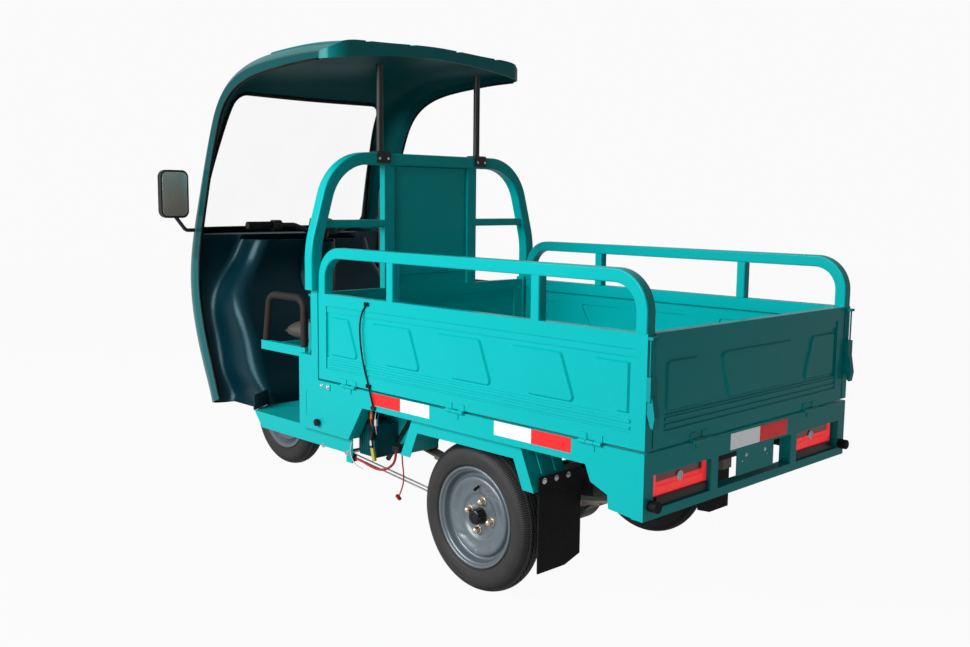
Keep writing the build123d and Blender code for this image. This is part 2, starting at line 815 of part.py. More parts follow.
def screen_outline(grow):
    """Front outline of the windscreen opening, in a plane square to X."""
    with BuildSketch(Plane.YZ.offset(bed_front_x + screen_bottom_ahead - screen_rake_run)) as outline:
        with BuildLine():
            Polyline(
                (-screen_bottom_half - grow, screen_bottom_z - grow),
                (screen_bottom_half + grow, screen_bottom_z - grow),
                (screen_top_half + grow, screen_top_z + grow),
                (-screen_top_half - grow, screen_top_z + grow),
                close=True,
            )
        make_face()
        fillet(outline.vertices(), radius=screen_corner + grow)
    return outline.sketch


def lamp_plane(side):
    """Plane of a headlamp's back, turned outwards from straight ahead."""
    return Plane(
        (bed_front_x + lamp_reach, side * head_lamp_y, head_lamp_z),
        x_dir=(-side * sin(radians(lamp_lean)), cos(radians(lamp_lean)), 0),
        z_dir=(cos(radians(lamp_lean)), side * sin(radians(lamp_lean)), 0),
    )


shell_outer = shell_form(0)
shell_inner = shell_form(shell_wall, lip_extra=5)
with BuildPart() as cab_shell:
    add(shell_outer)
    # pads raised along the roof, with shallow gutters between them
    with BuildPart(mode=Mode.PRIVATE) as roof_pads:
        add(shell_form(-roof_rib, last=shell_sections // 2))
        with BuildSketch(Plane.XY.offset(shell_guide[0][2])) as pad_plan:
            inner = -roof_rib_edges[0]
            for outer in roof_rib_edges:
                for side in (1, -1):
                    with Locations((bed_front_x - roof_rear, side * (inner + outer) / 2)):
                        RectangleRounded(2 * (roof_rear + roof_rib_front), outer - inner, roof_rib_gap)
                inner = outer + roof_rib_gap
        extrude(amount=shell_reach, mode=Mode.INTERSECT)
    add(roof_pads.part)
    add(roof_plan(0), mode=Mode.INTERSECT)
    with BuildPart(mode=Mode.PRIVATE) as hollow:
        add(shell_inner)
        add(roof_plan(shell_wall), mode=Mode.INTERSECT)
    add(hollow.part, mode=Mode.SUBTRACT)
    # the roof's rear lip follows its crown
    with BuildSketch(Plane.YZ.offset(bed_front_x - roof_rear)):
        with BuildLine():
            crown_z = shell_guide[0][2] + shell_guide[0][1] - roof_rear_lip
            half = shell_half_width - roof_corner
            foot_z = shell_guide[0][2] - roof_lip
            ThreePointArc((-half, foot_z), (0, crown_z), (half, foot_z))
            Polyline((half, foot_z), (half, foot_z - roof_corner), (-half, foot_z - roof_corner), (-half, foot_z))
        make_face()
    extrude(amount=shell_wall, mode=Mode.SUBTRACT)
    extrude(screen_outline(0), amount=shell_reach, mode=Mode.SUBTRACT)
    with BuildSketch(Plane.YZ.offset(bed_front_x + cab_length)) as arch:
        with Locations((0, arch_top_z / 2)):
            Rectangle(2 * arch_half_width, arch_top_z)
        fillet(arch.vertices().group_by(Axis.Z)[-1], radius=arch_corner)
    extrude(amount=shell_reach, mode=Mode.SUBTRACT)
    for side in (1, -1):
        with BuildSketch(lamp_plane(side)):
            Circle(head_lamp_radius)
        extrude(amount=shell_reach, mode=Mode.SUBTRACT)
cab_shell.part.label = "cab_shell"
export_step(cab_shell.part, "parts/cab_shell.step")

pane_inset = shell_wall + screen_seat
with BuildPart() as windscreen:
    add(shell_form(pane_inset))
    add(shell_form(pane_inset + screen_wall, lip_extra=5), mode=Mode.SUBTRACT)
    extrude(screen_outline(screen_overlap), amount=shell_reach, mode=Mode.INTERSECT)
windscreen.part.label = "windscreen"
export_step(windscreen.part, "parts/windscreen.step")

with BuildPart() as head_lamps:
    for side in (1, -1):
        with BuildSketch(lamp_plane(side)):
            Circle(head_lamp_radius)
        extrude(amount=62)
head_lamps.part.label = "head_lamps"
export_step(head_lamps.part, "parts/head_lamps.step")

# Roof posts clamped on the hoop, up to the inside of the roof
with BuildPart() as roof_posts:
    for side in (1, -1):
        with BuildSketch(Plane.XY.offset(hoop_top_z + clamp_wall)):
            with Locations((hoop_x, side * roof_post_y)):
                Circle(roof_post_radius)
        extrude(amount=400)
    add(shell_outer, mode=Mode.SUBTRACT)
roof_posts_kept = Compound(roof_posts.part.solids().sort_by(Axis.Z)[:2])
roof_posts_kept.label = "roof_posts"
export_step(roof_posts_kept, "parts/roof_posts.step")

with BuildPart() as post_clamps:
    for side in (1, -1):
        with BuildSketch(Plane.XZ.offset(-side * roof_post_y - clamp_width / 2)):
            with Locations((hoop_x, hoop_top_axis)):
                saddle = 2 * (hoop_radius + clamp_wall)
                RectangleRounded(saddle, saddle, tube_corner + clamp_wall)
                RectangleRounded(2 * hoop_radius, 2 * hoop_radius, tube_corner, mode=Mode.SUBTRACT)
            with Locations((hoop_x, hoop_top_axis - 0.66 * hoop_radius - clamp_wall - hoop_radius)):
                Rectangle(4 * hoop_radius, 2 * (hoop_radius + clamp_wall), mode=Mode.SUBTRACT)
        extrude(amount=clamp_width)
post_clamps.part.label = "post_clamps"
export_step(post_clamps.part, "parts/post_clamps.step")

# ---- cab interior -------------------------------------------------------------------------
# Sections of the leg shield: height; wings and hump ahead of the bed's front; half width of
# the hump.
leg_sections = [
    (leg_foot_z, 782.0, 486.0, 440.0),
    (500.0, 826.0, 545.0, 440.0),
    (600.0, 866.0, 600.0, 440.0),
    (700.0, 898.0, 645.0, 440.0),
    (800.0, 922.0, 698.0, 436.0),
    (880.0, 930.0, 738.0, 404.0),
    (960.0, 926.0, 756.0, 350.0),
    (dash_z, 908.0, 745.0, 300.0),
]
wing_half = shell_half_width - shell_wall - leg_gap
wing_step = 25.0
wing_round = 40.0
hump_round = 60.0


def leg_curve(wing, hump, half, thick):
    """Outline of the leg shield at one height: wing, round the hump, and the other wing."""
    hump_half = half * shell_half_width / leg_design_half - thick
    outer = [
        (bed_front_x + wing + thick, wing_half),
        (bed_front_x + wing - wing_step + thick, hump_half),
        (bed_front_x + hump + thick, hump_half),
    ]
    other = [(x, -y) for x, y in reversed(outer)]
    return FilletPolyline(*outer, *other, radius=[wing_round, hump_round, hump_round, wing_round])


def column_cone(inset):
    """Cone round the steering column, from inside the hump up to the handlebar."""
    with BuildPart() as cone:
        with BuildSketch(steering_plane(column_foot)):
            Circle(column_foot_radius - inset)
        with BuildSketch(steering_plane(column_top - inset)):
            Circle(column_top_radius - inset)
        loft()
    return cone.part


with BuildPart() as leg_shield:
    for height, wing, hump, half in leg_sections:
        with BuildSketch(Plane.XY.offset(height)):
            with BuildLine():
                rear = leg_curve(wing, hump, half, 0)
                front = leg_curve(wing, hump, half, leg_wall)
                Line(rear @ 0, front @ 0)
                Line(rear @ 1, front @ 1)
            make_face()
    loft()
    add(column_cone(0))
    add(column_cone(leg_wall), mode=Mode.SUBTRACT)
    split(bisect_by=Plane.XY.offset(dash_z), keep=Keep.BOTTOM)
    # toe guards that close the corners of the deck
    for side in (1, -1):
        with BuildSketch(Plane.XY.offset(deck_z)):
            with BuildLine():
                Polyline(
                    (deck_front_x + leg_gap, side * deck_half_width),
                    (deck_nose_x + 2 * leg_wall + toe_reach, side * (nose_half - leg_wall - toe_reach)),
                    (deck_nose_x + 4 * leg_wall + toe_reach, side * (nose_half - leg_wall - toe_reach)),
                    (deck_front_x + leg_gap + 2 * leg_wall, side * deck_half_width),
                    close=True,
                )
            make_face()
        extrude(amount=toe_height)
leg_shield.part.label = "leg_shield"
export_step(leg_shield.part, "parts/leg_shield.step")

with BuildPart() as dash:
    with BuildSketch(Plane.XY.offset(dash_z)):
        with BuildLine():
            rear = leg_curve(*leg_sections[-1][1:], 0)
            Polyline(
                rear @ 1,
                (bed_front_x + shell_reach, -wing_half),
                (bed_front_x + shell_reach, wing_half),
                rear @ 0,
            )
        make_face()
    extrude(amount=dash_thick)
    add(shell_inner, mode=Mode.INTERSECT)
    with BuildSketch(steering_plane(0)):
        Circle(column_top_radius + leg_gap)
    extrude(amount=column_foot, both=True, mode=Mode.SUBTRACT)
dash.part.label = "dash"
export_step(dash.part, "parts/dash.step")

deck_rear_x = bed_front_x - skirt_rear + skirt_slant + 3 * sheet
with BuildPart() as cab_floor:
    with BuildSketch(Plane.XY.offset(deck_z - sheet)):
        with BuildLine():
            Polyline(
                (deck_rear_x, deck_half_width),
                (deck_front_x, deck_half_width),
                (deck_nose_x, nose_half),
                (deck_nose_x, -nose_half),
                (deck_front_x, -deck_half_width),
                (deck_rear_x, -deck_half_width),
                close=True,
            )
        make_face()
    extrude(amount=sheet)
    for side in (1, -1):
        with BuildSketch(Plane.XZ.offset(-side * deck_half_width)):
            with BuildLine():
                Polyline(
                    (deck_rear_x, sill_z),
                    (deck_front_x - nose_run, sill_z),
                    (deck_front_x, deck_z - sheet),
                    (deck_rear_x, deck_z - sheet),
                    close=True,
                )
            make_face()
        extrude(amount=side * sheet)
        # tab under the sill's rear end
        with BuildSketch(Plane.XZ.offset(-side * deck_half_width)):
            with Locations((deck_rear_x + tab_width / 2, (tab_bottom_z + sill_z) / 2)):
                Rectangle(tab_width, sill_z - tab_bottom_z)
        extrude(amount=side * sheet)
cab_floor.part.label = "cab_floor"
export_step(cab_floor.part, "parts/cab_floor.step")

with BuildPart() as seat_box:
    for side in (1, -1):
        with BuildSketch(Plane.XZ.offset(-side * bed_half_width)):
            with BuildLine():
                Polyline(
                    (bed_front_x - skirt_rear, band_bottom_z),
                    (bed_front_x - skirt_rear + skirt_slant, deck_z),
                    (bed_front_x + seat_box_depth, deck_z),
                    (bed_front_x + seat_box_depth, seat_box_top),
                    (bed_front_x, seat_box_top),
                    (bed_front_x, band_bottom_z),
                    close=True,
                )
            make_face()
        extrude(amount=side * sheet)
        with BuildSketch(Plane.XZ.offset(-side * (bed_half_width - sheet))):
            with BuildLine():
                Polyline(
                    (bed_front_x - skirt_rear, band_bottom_z),
                    (bed_front_x - skirt_rear + skirt_slant, deck_z),
                    (bed_front_x - skirt_rear + skirt_slant + sheet, deck_z),
                    (bed_front_x - skirt_rear + sheet, band_bottom_z),
                    close=True,
                )
            make_face()
        extrude(amount=side * skirt_return)
        with BuildSketch(Plane.XZ.offset(-side * bed_half_width)):
            with Locations((bed_front_x - skirt_recess_place[0], skirt_recess_place[1])):
                RectangleRounded(skirt_recess[0], skirt_recess[1], skirt_recess[1] / 12)
        extrude(amount=side * skirt_recess[2], mode=Mode.SUBTRACT)
    with BuildSketch(Plane.YZ.offset(bed_front_x + seat_box_depth - sheet)):
        with Locations((0, (deck_z + seat_box_top) / 2)):
            Rectangle(2 * bed_half_width, seat_box_top - deck_z)
    extrude(amount=sheet)
    with BuildSketch(Plane.XY.offset(seat_box_top - sheet)):
        with Locations((bed_front_x + seat_box_depth / 2, 0)):
            Rectangle(seat_box_depth, 2 * bed_half_width)
    extrude(amount=sheet)
seat_box.part.label = "seat_box"
export_step(seat_box.part, "parts/seat_box.step")

with BuildPart() as battery_box:
    with BuildSketch(Plane.XY.offset(deck_z)):
        with Locations((bed_front_x + seat_box_depth + battery_length / 2, 0)):
            Rectangle(battery_length, 2 * battery_half_width)
    extrude(amount=battery_height)
battery_box.part.label = "battery_box"
export_step(battery_box.part, "parts/battery_box.step")

seat_front_x = bed_front_x + seat_gap + seat_length
with BuildPart() as seat_frame:
    for side in (1, -1):
        with BuildSketch(Plane.YZ.offset(bed_front_x + seat_box_depth)):
            with Locations((side * (seat_rail_y + seat_bar / 2), seat_rail_z + seat_side_height / 2)):
                Rectangle(seat_bar, seat_side_height)
        extrude(amount=seat_front_x + seat_bar / 2 - bed_front_x - seat_box_depth)
    for bar_x in (bed_front_x + seat_box_depth + 2 * seat_bar, seat_front_x - 2 * seat_bar):
        with BuildSketch(Plane.XY.offset(seat_rail_z)):
            with Locations((bar_x, 0)):
                Rectangle(seat_bar, 2 * seat_rail_y)
        extrude(amount=seat_bottom_z - seat_rail_z)
seat_frame.part.label = "seat_frame"
export_step(seat_frame.part, "parts/seat_frame.step")

with BuildPart() as seat_cushion:
    with BuildSketch(Plane.XY.offset(seat_bottom_z)):
        with Locations((bed_front_x + seat_gap + seat_length / 2, 0)):
            RectangleRounded(seat_length, 2 * seat_half_width, seat_corner)
    extrude(amount=seat_top_z - seat_bottom_z)
    fillet(seat_cushion.faces().sort_by(Axis.Z)[-1].edges(), radius=seat_edge)
seat_cushion.part.label = "seat_cushion"
export_step(seat_cushion.part, "parts/seat_cushion.step")

with BuildPart() as seat_back:
    with BuildSketch(Plane.YZ.offset(hoop_x + mid_bar_radius)):
        with Locations((0, seat_back_z)):
            RectangleRounded(seat_back_width, seat_back_height, seat_corner)
    extrude(amount=seat_back_thick)
    fillet(seat_back.faces().sort_by(Axis.X)[-1].edges(), radius=seat_edge)
seat_back.part.label = "seat_back"
export_step(seat_back.part, "parts/seat_back.step")

armrest_y = seat_rail_y + seat_bar / 2
armrest_foot_z = seat_rail_z + seat_side_height
with BuildPart() as armrests:
    for side in (1, -1):
        with BuildLine() as arm_path:
            FilletPolyline(
                (bed_front_x + armrest_rear, side * armrest_y, seat_rail_z),
                (bed_front_x + armrest_rear, side * armrest_y, armrest_top_z - armrest_radius),
                (bed_front_x + armrest_front, side * armrest_y, armrest_top_z - armrest_radius),
                (bed_front_x + armrest_front + armrest_lean, side * armrest_y, seat_rail_z),
                radius=armrest_bend,
            )
        with BuildSketch(Plane(arm_path.line @ 0, z_dir=arm_path.line % 0)):
            Circle(armrest_radius)
        sweep(path=arm_path.line)
    split(bisect_by=Plane.XY.offset(armrest_foot_z), keep=Keep.TOP)
armrests.part.label = "armrests"
export_step(armrests.part, "parts/armrests.step")

# ---- chassis and running gear -------------------------------------------------------------
rail_top_z_ = floor_z - load_plate - sheet - cross_member
low_rail_top = deck_z - sheet
neck_x = deck_front_x - 60
chassis_rear_x = tail_x + 60
head_low = 250.0
head_high = head_low + head_tube_length
with BuildPart() as chassis:
    for side in (1, -1):
        with BuildSketch(Plane.XZ.offset(-side * rail_y + rail_width / 2 - rail_width)):
            with BuildLine():
                Polyline(
                    (chassis_rear_x, rail_top_z_),
                    (kick_rear_x, rail_top_z_),
                    (kick_front_x, low_rail_top),
                    (neck_x, low_rail_top),
                    (neck_x, low_rail_top - rail_height * 0.7),
                    (kick_front_x - 25, low_rail_top - rail_height * 0.7),
                    (kick_rear_x - 25, rail_top_z_ - rail_height),
                    (chassis_rear_x, rail_top_z_ - rail_height),
                    close=True,
                )
            make_face()
        extrude(amount=rail_width)
    for cross_x in (tail_x + 120, rear_axle_x + 250, bed_front_x - 130, bed_front_x + 180, neck_x - 25):
        low = rail_top_z_ - rail_height if cross_x < kick_rear_x else low_rail_top - rail_height * 0.7
        with BuildSketch(Plane.XY.offset(low)):
            with Locations((cross_x, 0)):
                Rectangle(50, 2 * rail_y)
        extrude(amount=rail_height * 0.6)
    # neck from the front cross member up to the steering head
    for side in (1, -1):
        with BuildLine() as neck:
            FilletPolyline(
                (neck_x - 20, side * 150, low_rail_top - 45),
                (deck_front_x + 75, side * 110, low_rail_top - 43),
                (on_steering_axis(head_high - 30).X - 62, side * 34, on_steering_axis(head_high - 30).Z - 40),
                (on_steering_axis(head_low + 60).X - 20, side * 10, on_steering_axis(head_low + 60).Z),
                radius=[60, 50],
            )
        with BuildSketch(Plane(neck.line @ 0, z_dir=neck.line % 0)):
            Circle(16)
        sweep(path=neck.line)
    with BuildSketch(steering_plane(head_low)):
        Circle(head_tube_radius)
    extrude(amount=head_tube_length)
    with BuildSketch(steering_plane(head_low)):
        Circle(stem_radius + running_gap)
    extrude(amount=head_tube_length, mode=Mode.SUBTRACT)
chassis.part.label = "chassis"
export_step(chassis.part, "parts/chassis.step")

axle_shaft_radius = 14.0
bearing_gap = 0.05
axle_half = rear_wheel_y + 26
with BuildPart() as rear_axle:
    with BuildSketch(Plane.XZ.offset(axle_half)):
        with Locations((rear_axle_x, tyre_radius)):
            Circle(axle_shaft_radius)
    extrude(amount=-2 * axle_half)
    with BuildSketch(Plane.XZ.offset(rear_wheel_y - 62)):
        with Locations((rear_axle_x, tyre_radius)):
            Circle(axle_tube_radius)
    extrude(amount=-2 * (rear_wheel_y - 62))
    for side in (1, -1):
        with BuildSketch(Plane.XZ.offset(-side * (rear_wheel_y - 22))):
            with Locations((rear_axle_x, tyre_radius)):
                Circle(drum_radius)
        extrude(amount=side * drum_width)
    with BuildSketch(Plane.XZ.offset(60)) as case:
        with Locations((rear_axle_x, tyre_radius)):
            Circle(case_radius)
    extrude(amount=-120)
    fillet(rear_axle.edges().filter_by(GeomType.CIRCLE).filter_by(lambda e: abs(e.radius - case_radius) < 1), radius=28)
    with BuildSketch(Plane.XZ.offset(150)):
        with Locations((rear_axle_x - 60, tyre_radius + 30)):
            Circle(motor_radius)
    extrude(amount=-motor_length)
rear_axle.part.label = "rear_axle"
export_step(rear_axle.part, "parts/rear_axle.step")

spring_base_z = tyre_radius + axle_tube_radius
with BuildPart() as leaf_springs:
    for side in (1, -1):
        for leaf in range(spring_leaves):
            half = spring_half_span * (1 - leaf / (spring_leaves + 1))
            lift = spring_base_z + spring_leaf * (spring_leaves - 1 - leaf)
            rise = spring_camber * (half / spring_half_span) ** 2
            with BuildSketch(Plane.XZ.offset(-side * rail_y - spring_width / 2)):
                with BuildLine():
                    low = ThreePointArc(
                        (rear_axle_x - half, lift + rise), (rear_axle_x, lift), (rear_axle_x + half, lift + rise)
                    )
                    high = ThreePointArc(
                        (rear_axle_x - half, lift + rise + spring_leaf),
                        (rear_axle_x, lift + spring_leaf),
                        (rear_axle_x + half, lift + rise + spring_leaf),
                    )
                    Line(low @ 0, high @ 0)
                    Line(low @ 1, high @ 1)
                make_face()
            extrude(amount=spring_width)
    hanger_z = spring_base_z + spring_leaf * (spring_leaves - 1) + spring_camber + spring_leaf
    for side in (1, -1):
        for end in (1, -1):
            with BuildSketch(Plane.XY.offset(hanger_z - 2)):
                with Locations((rear_axle_x + end * (spring_half_span - 14), side * rail_y)):
                    Rectangle(28, spring_width)
            extrude(amount=rail_top_z_ - rail_height - hanger_z + 2)
leaf_springs.part.label = "leaf_springs"
export_step(leaf_springs.part, "parts/leaf_springs.step")


def wheel_profile_plane(centre_x):
    """Plane through a wheel's axle line: local X is the vehicle's left, local Y is up."""
    return Plane.YZ.offset(centre_x)


def tyre(centre_x, centre_y):
    """Tyre: a rounded tread and bulged walls, turned about the axle."""
    half = tyre_width / 2
    edge_z = tyre_radius + rim_radius
    shoulder_z = 2 * tyre_radius - shoulder_drop
    with BuildPart() as body:
        with BuildSketch(wheel_profile_plane(centre_x)):
            with BuildLine():
                Polyline(
                    (centre_y - bead_half, edge_z),
                    (centre_y - seat_half, edge_z - bead_seat_drop),
                    (centre_y + seat_half, edge_z - bead_seat_drop),
                    (centre_y + bead_half, edge_z),
                )
                ThreePointArc(
                    (centre_y + bead_half, edge_z),
                    (centre_y + half, edge_z + wall_bulge_rise),
                    (centre_y + half - shoulder_inset, shoulder_z),
                )
                ThreePointArc(
                    (centre_y + half - shoulder_inset, shoulder_z),
                    (centre_y, 2 * tyre_radius),
                    (centre_y - half + shoulder_inset, shoulder_z),
                )
                ThreePointArc(
                    (centre_y - half + shoulder_inset, shoulder_z),
                    (centre_y - half, edge_z + wall_bulge_rise),
                    (centre_y - bead_half, edge_z),
                )
            make_face()
        revolve(axis=Axis((centre_x, 0, tyre_radius), (0, 1, 0)))
    return body.part


def rim(centre_x, centre_y, out, bore):
    """Pressed wheel with its hub cap and nuts; out is the side its disc is dished towards."""
    base = tyre_radius
    seat = rim_radius - bead_seat_drop
    well = seat - rim_wall - well_depth
    with BuildPart() as body:
        with BuildSketch(wheel_profile_plane(centre_x)):
            # barrel with its two edges
            with BuildLine():
                Polyline(
                    (centre_y - rim_width / 2, base + rim_radius),
                    (centre_y - bead_half, base + rim_radius),
                    (centre_y - seat_half, base + seat),
                    (centre_y + seat_half, base + seat),
                    (centre_y + bead_half, base + rim_radius),
                    (centre_y + rim_width / 2, base + rim_radius),
                    (centre_y + rim_width / 2 - rim_wall, base + seat - rim_wall),
                    (centre_y + well_half, base + well),
                    (centre_y - well_half, base + well),
                    (centre_y - rim_width / 2 + rim_wall, base + seat - rim_wall),
                    close=True,
                )
            make_face()
            # pressed disc
            outer = [(centre_y + out * depth, base + radius) for radius, depth in disc_profile]
            inner = [(y - out * disc_thick, z) for y, z in reversed(outer)]
            hub_y = outer[-1][0]
            with BuildLine():
                Polyline(
                    *outer,
                    (hub_y, base + bore),
                    (hub_y - out * disc_thick, base + bore),
                    *inner,
                    close=True,
                )
            make_face()
            with BuildLine():
                Polyline(
                    (hub_y, base + hub_cap_radius),
                    (centre_y + out * (hub_cap_out - rim_wall), base + hub_cap_radius),
                    (centre_y + out * hub_cap_out, base + hub_cap_radius - rim_wall),
                    (centre_y + out * hub_cap_out, base + bore),
                    (hub_y, base + bore),
                    close=True,
                )
            make_face()
        revolve(axis=Axis((centre_x, 0, tyre_radius), (0, 1, 0)))
        with BuildSketch(Plane.XZ.offset(-hub_y)):
            with Locations((centre_x, tyre_radius)):
                with PolarLocations(nut_circle, nut_count, 360 / nut_count / 2):
                    RegularPolygon(nut_radius, 6)
        extrude(amount=-out * nut_height)
        with BuildSketch(Plane.XZ.offset(-centre_y)):
            with Locations((centre_x, tyre_radius + valve_circle)):
                Circle(valve_hole_radius)
        extrude(amount=-out * rim_width / 2, mode=Mode.SUBTRACT)
    return body.part


for name, side in (("left", 1), ("right", -1)):
    rear_tyre = tyre(rear_axle_x, side * rear_wheel_y)
    rear_tyre.label = f"rear_{name}_tyre"
    export_step(rear_tyre, f"parts/rear_{name}_tyre.step")
    rear_rim = rim(rear_axle_x, side * rear_wheel_y, side, axle_shaft_radius + bearing_gap)
    rear_rim.label = f"rear_{name}_rim"
    export_step(rear_rim, f"parts/rear_{name}_rim.step")

front_tyre = tyre(front_axle_x, 0)
front_tyre.label = "front_tyre"
export_step(front_tyre, "parts/front_tyre.step")
front_rim = rim(front_axle_x, 0, 1, front_axle_radius + bearing_gap)
front_rim.label = "front_rim"
export_step(front_rim, "parts/front_rim.step")

# ---- steering -----------------------------------------------------------------------------
crown_thick = 22.0
leg_end = axle_along + 24
stem_start = 16.0
with BuildPart() as fork:
    with BuildSketch(steering_plane(stem_start)):
        Circle(stem_radius)
    extrude(amount=crown_along - stem_start)
    with BuildSketch(steering_plane(crown_along)):
        SlotOverall(2 * (fork_leg_y + fork_leg_radius + 6), 2 * (fork_leg_radius + 6))
    extrude(amount=crown_thick)
    for side in (1, -1):
        with BuildSketch(steering_plane(crown_along)):
            with Locations((side * fork_leg_y, 0)):
                Circle(fork_leg_radius)
        extrude(amount=leg_end - crown_along)
    with BuildSketch(Plane.XZ.offset(200)):
        with Locations((front_axle_x, tyre_radius)):
            Circle(front_axle_radius)
    extrude(amount=-400, mode=Mode.SUBTRACT)
fork.part.label = "fork"
export_step(fork.part, "parts/fork.step")

with BuildPart() as front_axle:
    with BuildSketch(Plane.XZ.offset(fork_leg_y + fork_leg_radius + 9)):
        with Locations((front_axle_x, tyre_radius)):
            Circle(front_axle_radius)
    extrude(amount=-2 * (fork_leg_y + fork_leg_radius + 9))
front_axle.part.label = "front_axle"
export_step(front_axle.part, "parts/front_axle.step")

front_fender_sheet = 3.0
fender_inner_radius = tyre_radius + front_fender_gap
with BuildPart() as front_fender:
    with BuildSketch(Plane.XZ.offset(-front_fender_width / 2)):
        with Locations((front_axle_x, tyre_radius)):
            Circle(fender_inner_radius + front_fender_sheet)
            Circle(fender_inner_radius, mode=Mode.SUBTRACT)
        with BuildLine():
            reach = 3 * tyre_radius
            Polyline(
                (front_axle_x, tyre_radius),
                (front_axle_x + reach * cos(radians(22)), tyre_radius + reach * sin(radians(22))),
                (front_axle_x + reach, tyre_radius + 2 * reach),
                (front_axle_x - reach, tyre_radius + 2 * reach),
                (front_axle_x - reach * cos(radians(8)), tyre_radius + reach * sin(radians(8))),
                close=True,
            )
        make_face(mode=Mode.INTERSECT)
    extrude(amount=front_fender_width)
    with BuildSketch(steering_plane(crown_along + crown_thick)):
        Rectangle(50, 34)
    extrude(amount=axle_along - crown_along - crown_thick - fender_inner_radius - 1)
front_fender.part.label = "front_fender"
export_step(front_fender.part, "parts/front_fender.step")

grip_x = head_x + bar_pull
grip_z = bar_z + bar_rise
with BuildPart() as handlebar:
    with BuildLine() as bar_path:
        FilletPolyline(
            (grip_x, -bar_half_width, grip_z),
            (grip_x, -bar_bends[1], grip_z),
            (head_x, -bar_bends[0], bar_z),
            (head_x, bar_bends[0], bar_z),
            (grip_x, bar_bends[1], grip_z),
            (grip_x, bar_half_width, grip_z),
            radius=[bar_bend_radius] * 4,
        )
    with BuildSketch(Plane(bar_path.line @ 0, z_dir=bar_path.line % 0)):
        Circle(bar_radius)
    sweep(path=bar_path.line)
    with BuildSketch(steering_plane(clamp_top)):
        Circle(stem_radius + clamp_wall)
    extrude(amount=stem_start - clamp_top)
handlebar.part.label = "handlebar"
export_step(handlebar.part, "parts/handlebar.step")

pod_length = 40.0
with BuildPart() as grips:
    for side in (1, -1):
        with BuildSketch(Plane.XZ.offset(-side * bar_half_width)):
            with Locations((grip_x, grip_z)):
                Circle(grip_radius)
                Circle(bar_radius, mode=Mode.SUBTRACT)
        extrude(amount=side * grip_length)
grips.part.label = "grips"
export_step(grips.part, "parts/grips.step")

with BuildPart() as switch_pods:
    for side in (1, -1):
        with BuildSketch(Plane.XZ.offset(-side * (bar_half_width - grip_length))):
            with Locations((grip_x, grip_z)):
                Circle(pod_radius)
                Circle(bar_radius, mode=Mode.SUBTRACT)
        extrude(amount=side * pod_length)
    # instrument on top of the clamp
    meter_width, meter_depth, meter_height = meter_size
    with BuildSketch(steering_plane(clamp_top)):
        with Locations((0, meter_ahead)):
            RectangleRounded(meter_width, meter_depth, meter_depth / 4)
    extrude(amount=-meter_height)
switch_pods.part.label = "switch_pods"
export_step(switch_pods.part, "parts/switch_pods.step")

# ---- fenders, flaps, rear frame, lamps, mirrors -------------------------------------------
def fender_outline(drop):
    """Side outline of a rear fender, so far below its outer face."""
    slope = fender_slope_run / (fender_top_z - fender_foot_z)
    return [
        (rear_axle_x - fender_foot_span / 2 + drop, fender_foot_z),
        (rear_axle_x - fender_flat / 2 + drop * (1 - slope), fender_top_z - drop),
        (rear_axle_x + fender_flat / 2 - drop * (1 - slope), fender_top_z - drop),
        (rear_axle_x + fender_foot_span / 2 - drop, fender_foot_z),
    ]


fender_middle_y = (fender_outer_y + fender_inner_y) / 2
slope_length = hypot(fender_slope_run, fender_top_z - fender_foot_z)
slope_normal = ((fender_foot_z - fender_top_z) / slope_length, 0, fender_slope_run / slope_length)
fender_slope = Plane(
    (rear_axle_x - (fender_foot_span + fender_flat) / 4 - 0.1 * fender_slope_run / 2, 0,
     (fender_top_z + fender_foot_z) / 2 + 0.1 * (fender_top_z - fender_foot_z)),
    x_dir=(0, 1, 0),
    z_dir=slope_normal,
)
with BuildPart() as rear_fenders:
    for side in (1, -1):
        for face_y, drop, width in (
            (fender_outer_y, fender_sheet, fender_outer_y - fender_inner_y),
            (fender_outer_y, fender_flange, fender_sheet),
        ):
            with BuildSketch(Plane.XZ.offset(-side * face_y)):
                with BuildLine():
                    Polyline(*fender_outline(0), *reversed(fender_outline(drop)), close=True)
                make_face()
            extrude(amount=side * width)
        # ribs pressed up the rear slope
        with BuildSketch(fender_slope):
            with Locations((side * fender_middle_y, 0)):
                with GridLocations(2 * fender_rib_y, 1, 2, 1):
                    SlotOverall(fender_rib[0], fender_rib[1], rotation=90)
        extrude(amount=fender_rib[2])
rear_fenders.part.label = "rear_fenders"
export_step(rear_fenders.part, "parts/rear_fenders.step")

flap_x = rear_axle_x - fender_foot_span / 2
with BuildPart() as mud_flaps:
    for side in (1, -1):
        outer = side * (fender_outer_y - flap_inset)
        inner = side * (fender_outer_y - flap_inset - flap_width)
        with BuildSketch(Plane.YZ.offset(flap_x - flap_thick)):
            with BuildLine():
                Polyline(
                    (outer, fender_foot_z + flap_lap),
                    (outer, flap_bottom_z),
                    (inner + side * flap_cut[0], flap_bottom_z),
                    (inner, flap_bottom_z + flap_cut[1]),
                    (inner, fender_foot_z + flap_lap),
                    close=True,
                )
            make_face()
        extrude(amount=flap_thick)
mud_flaps.part.label = "mud_flaps"
export_step(mud_flaps.part, "parts/mud_flaps.step")

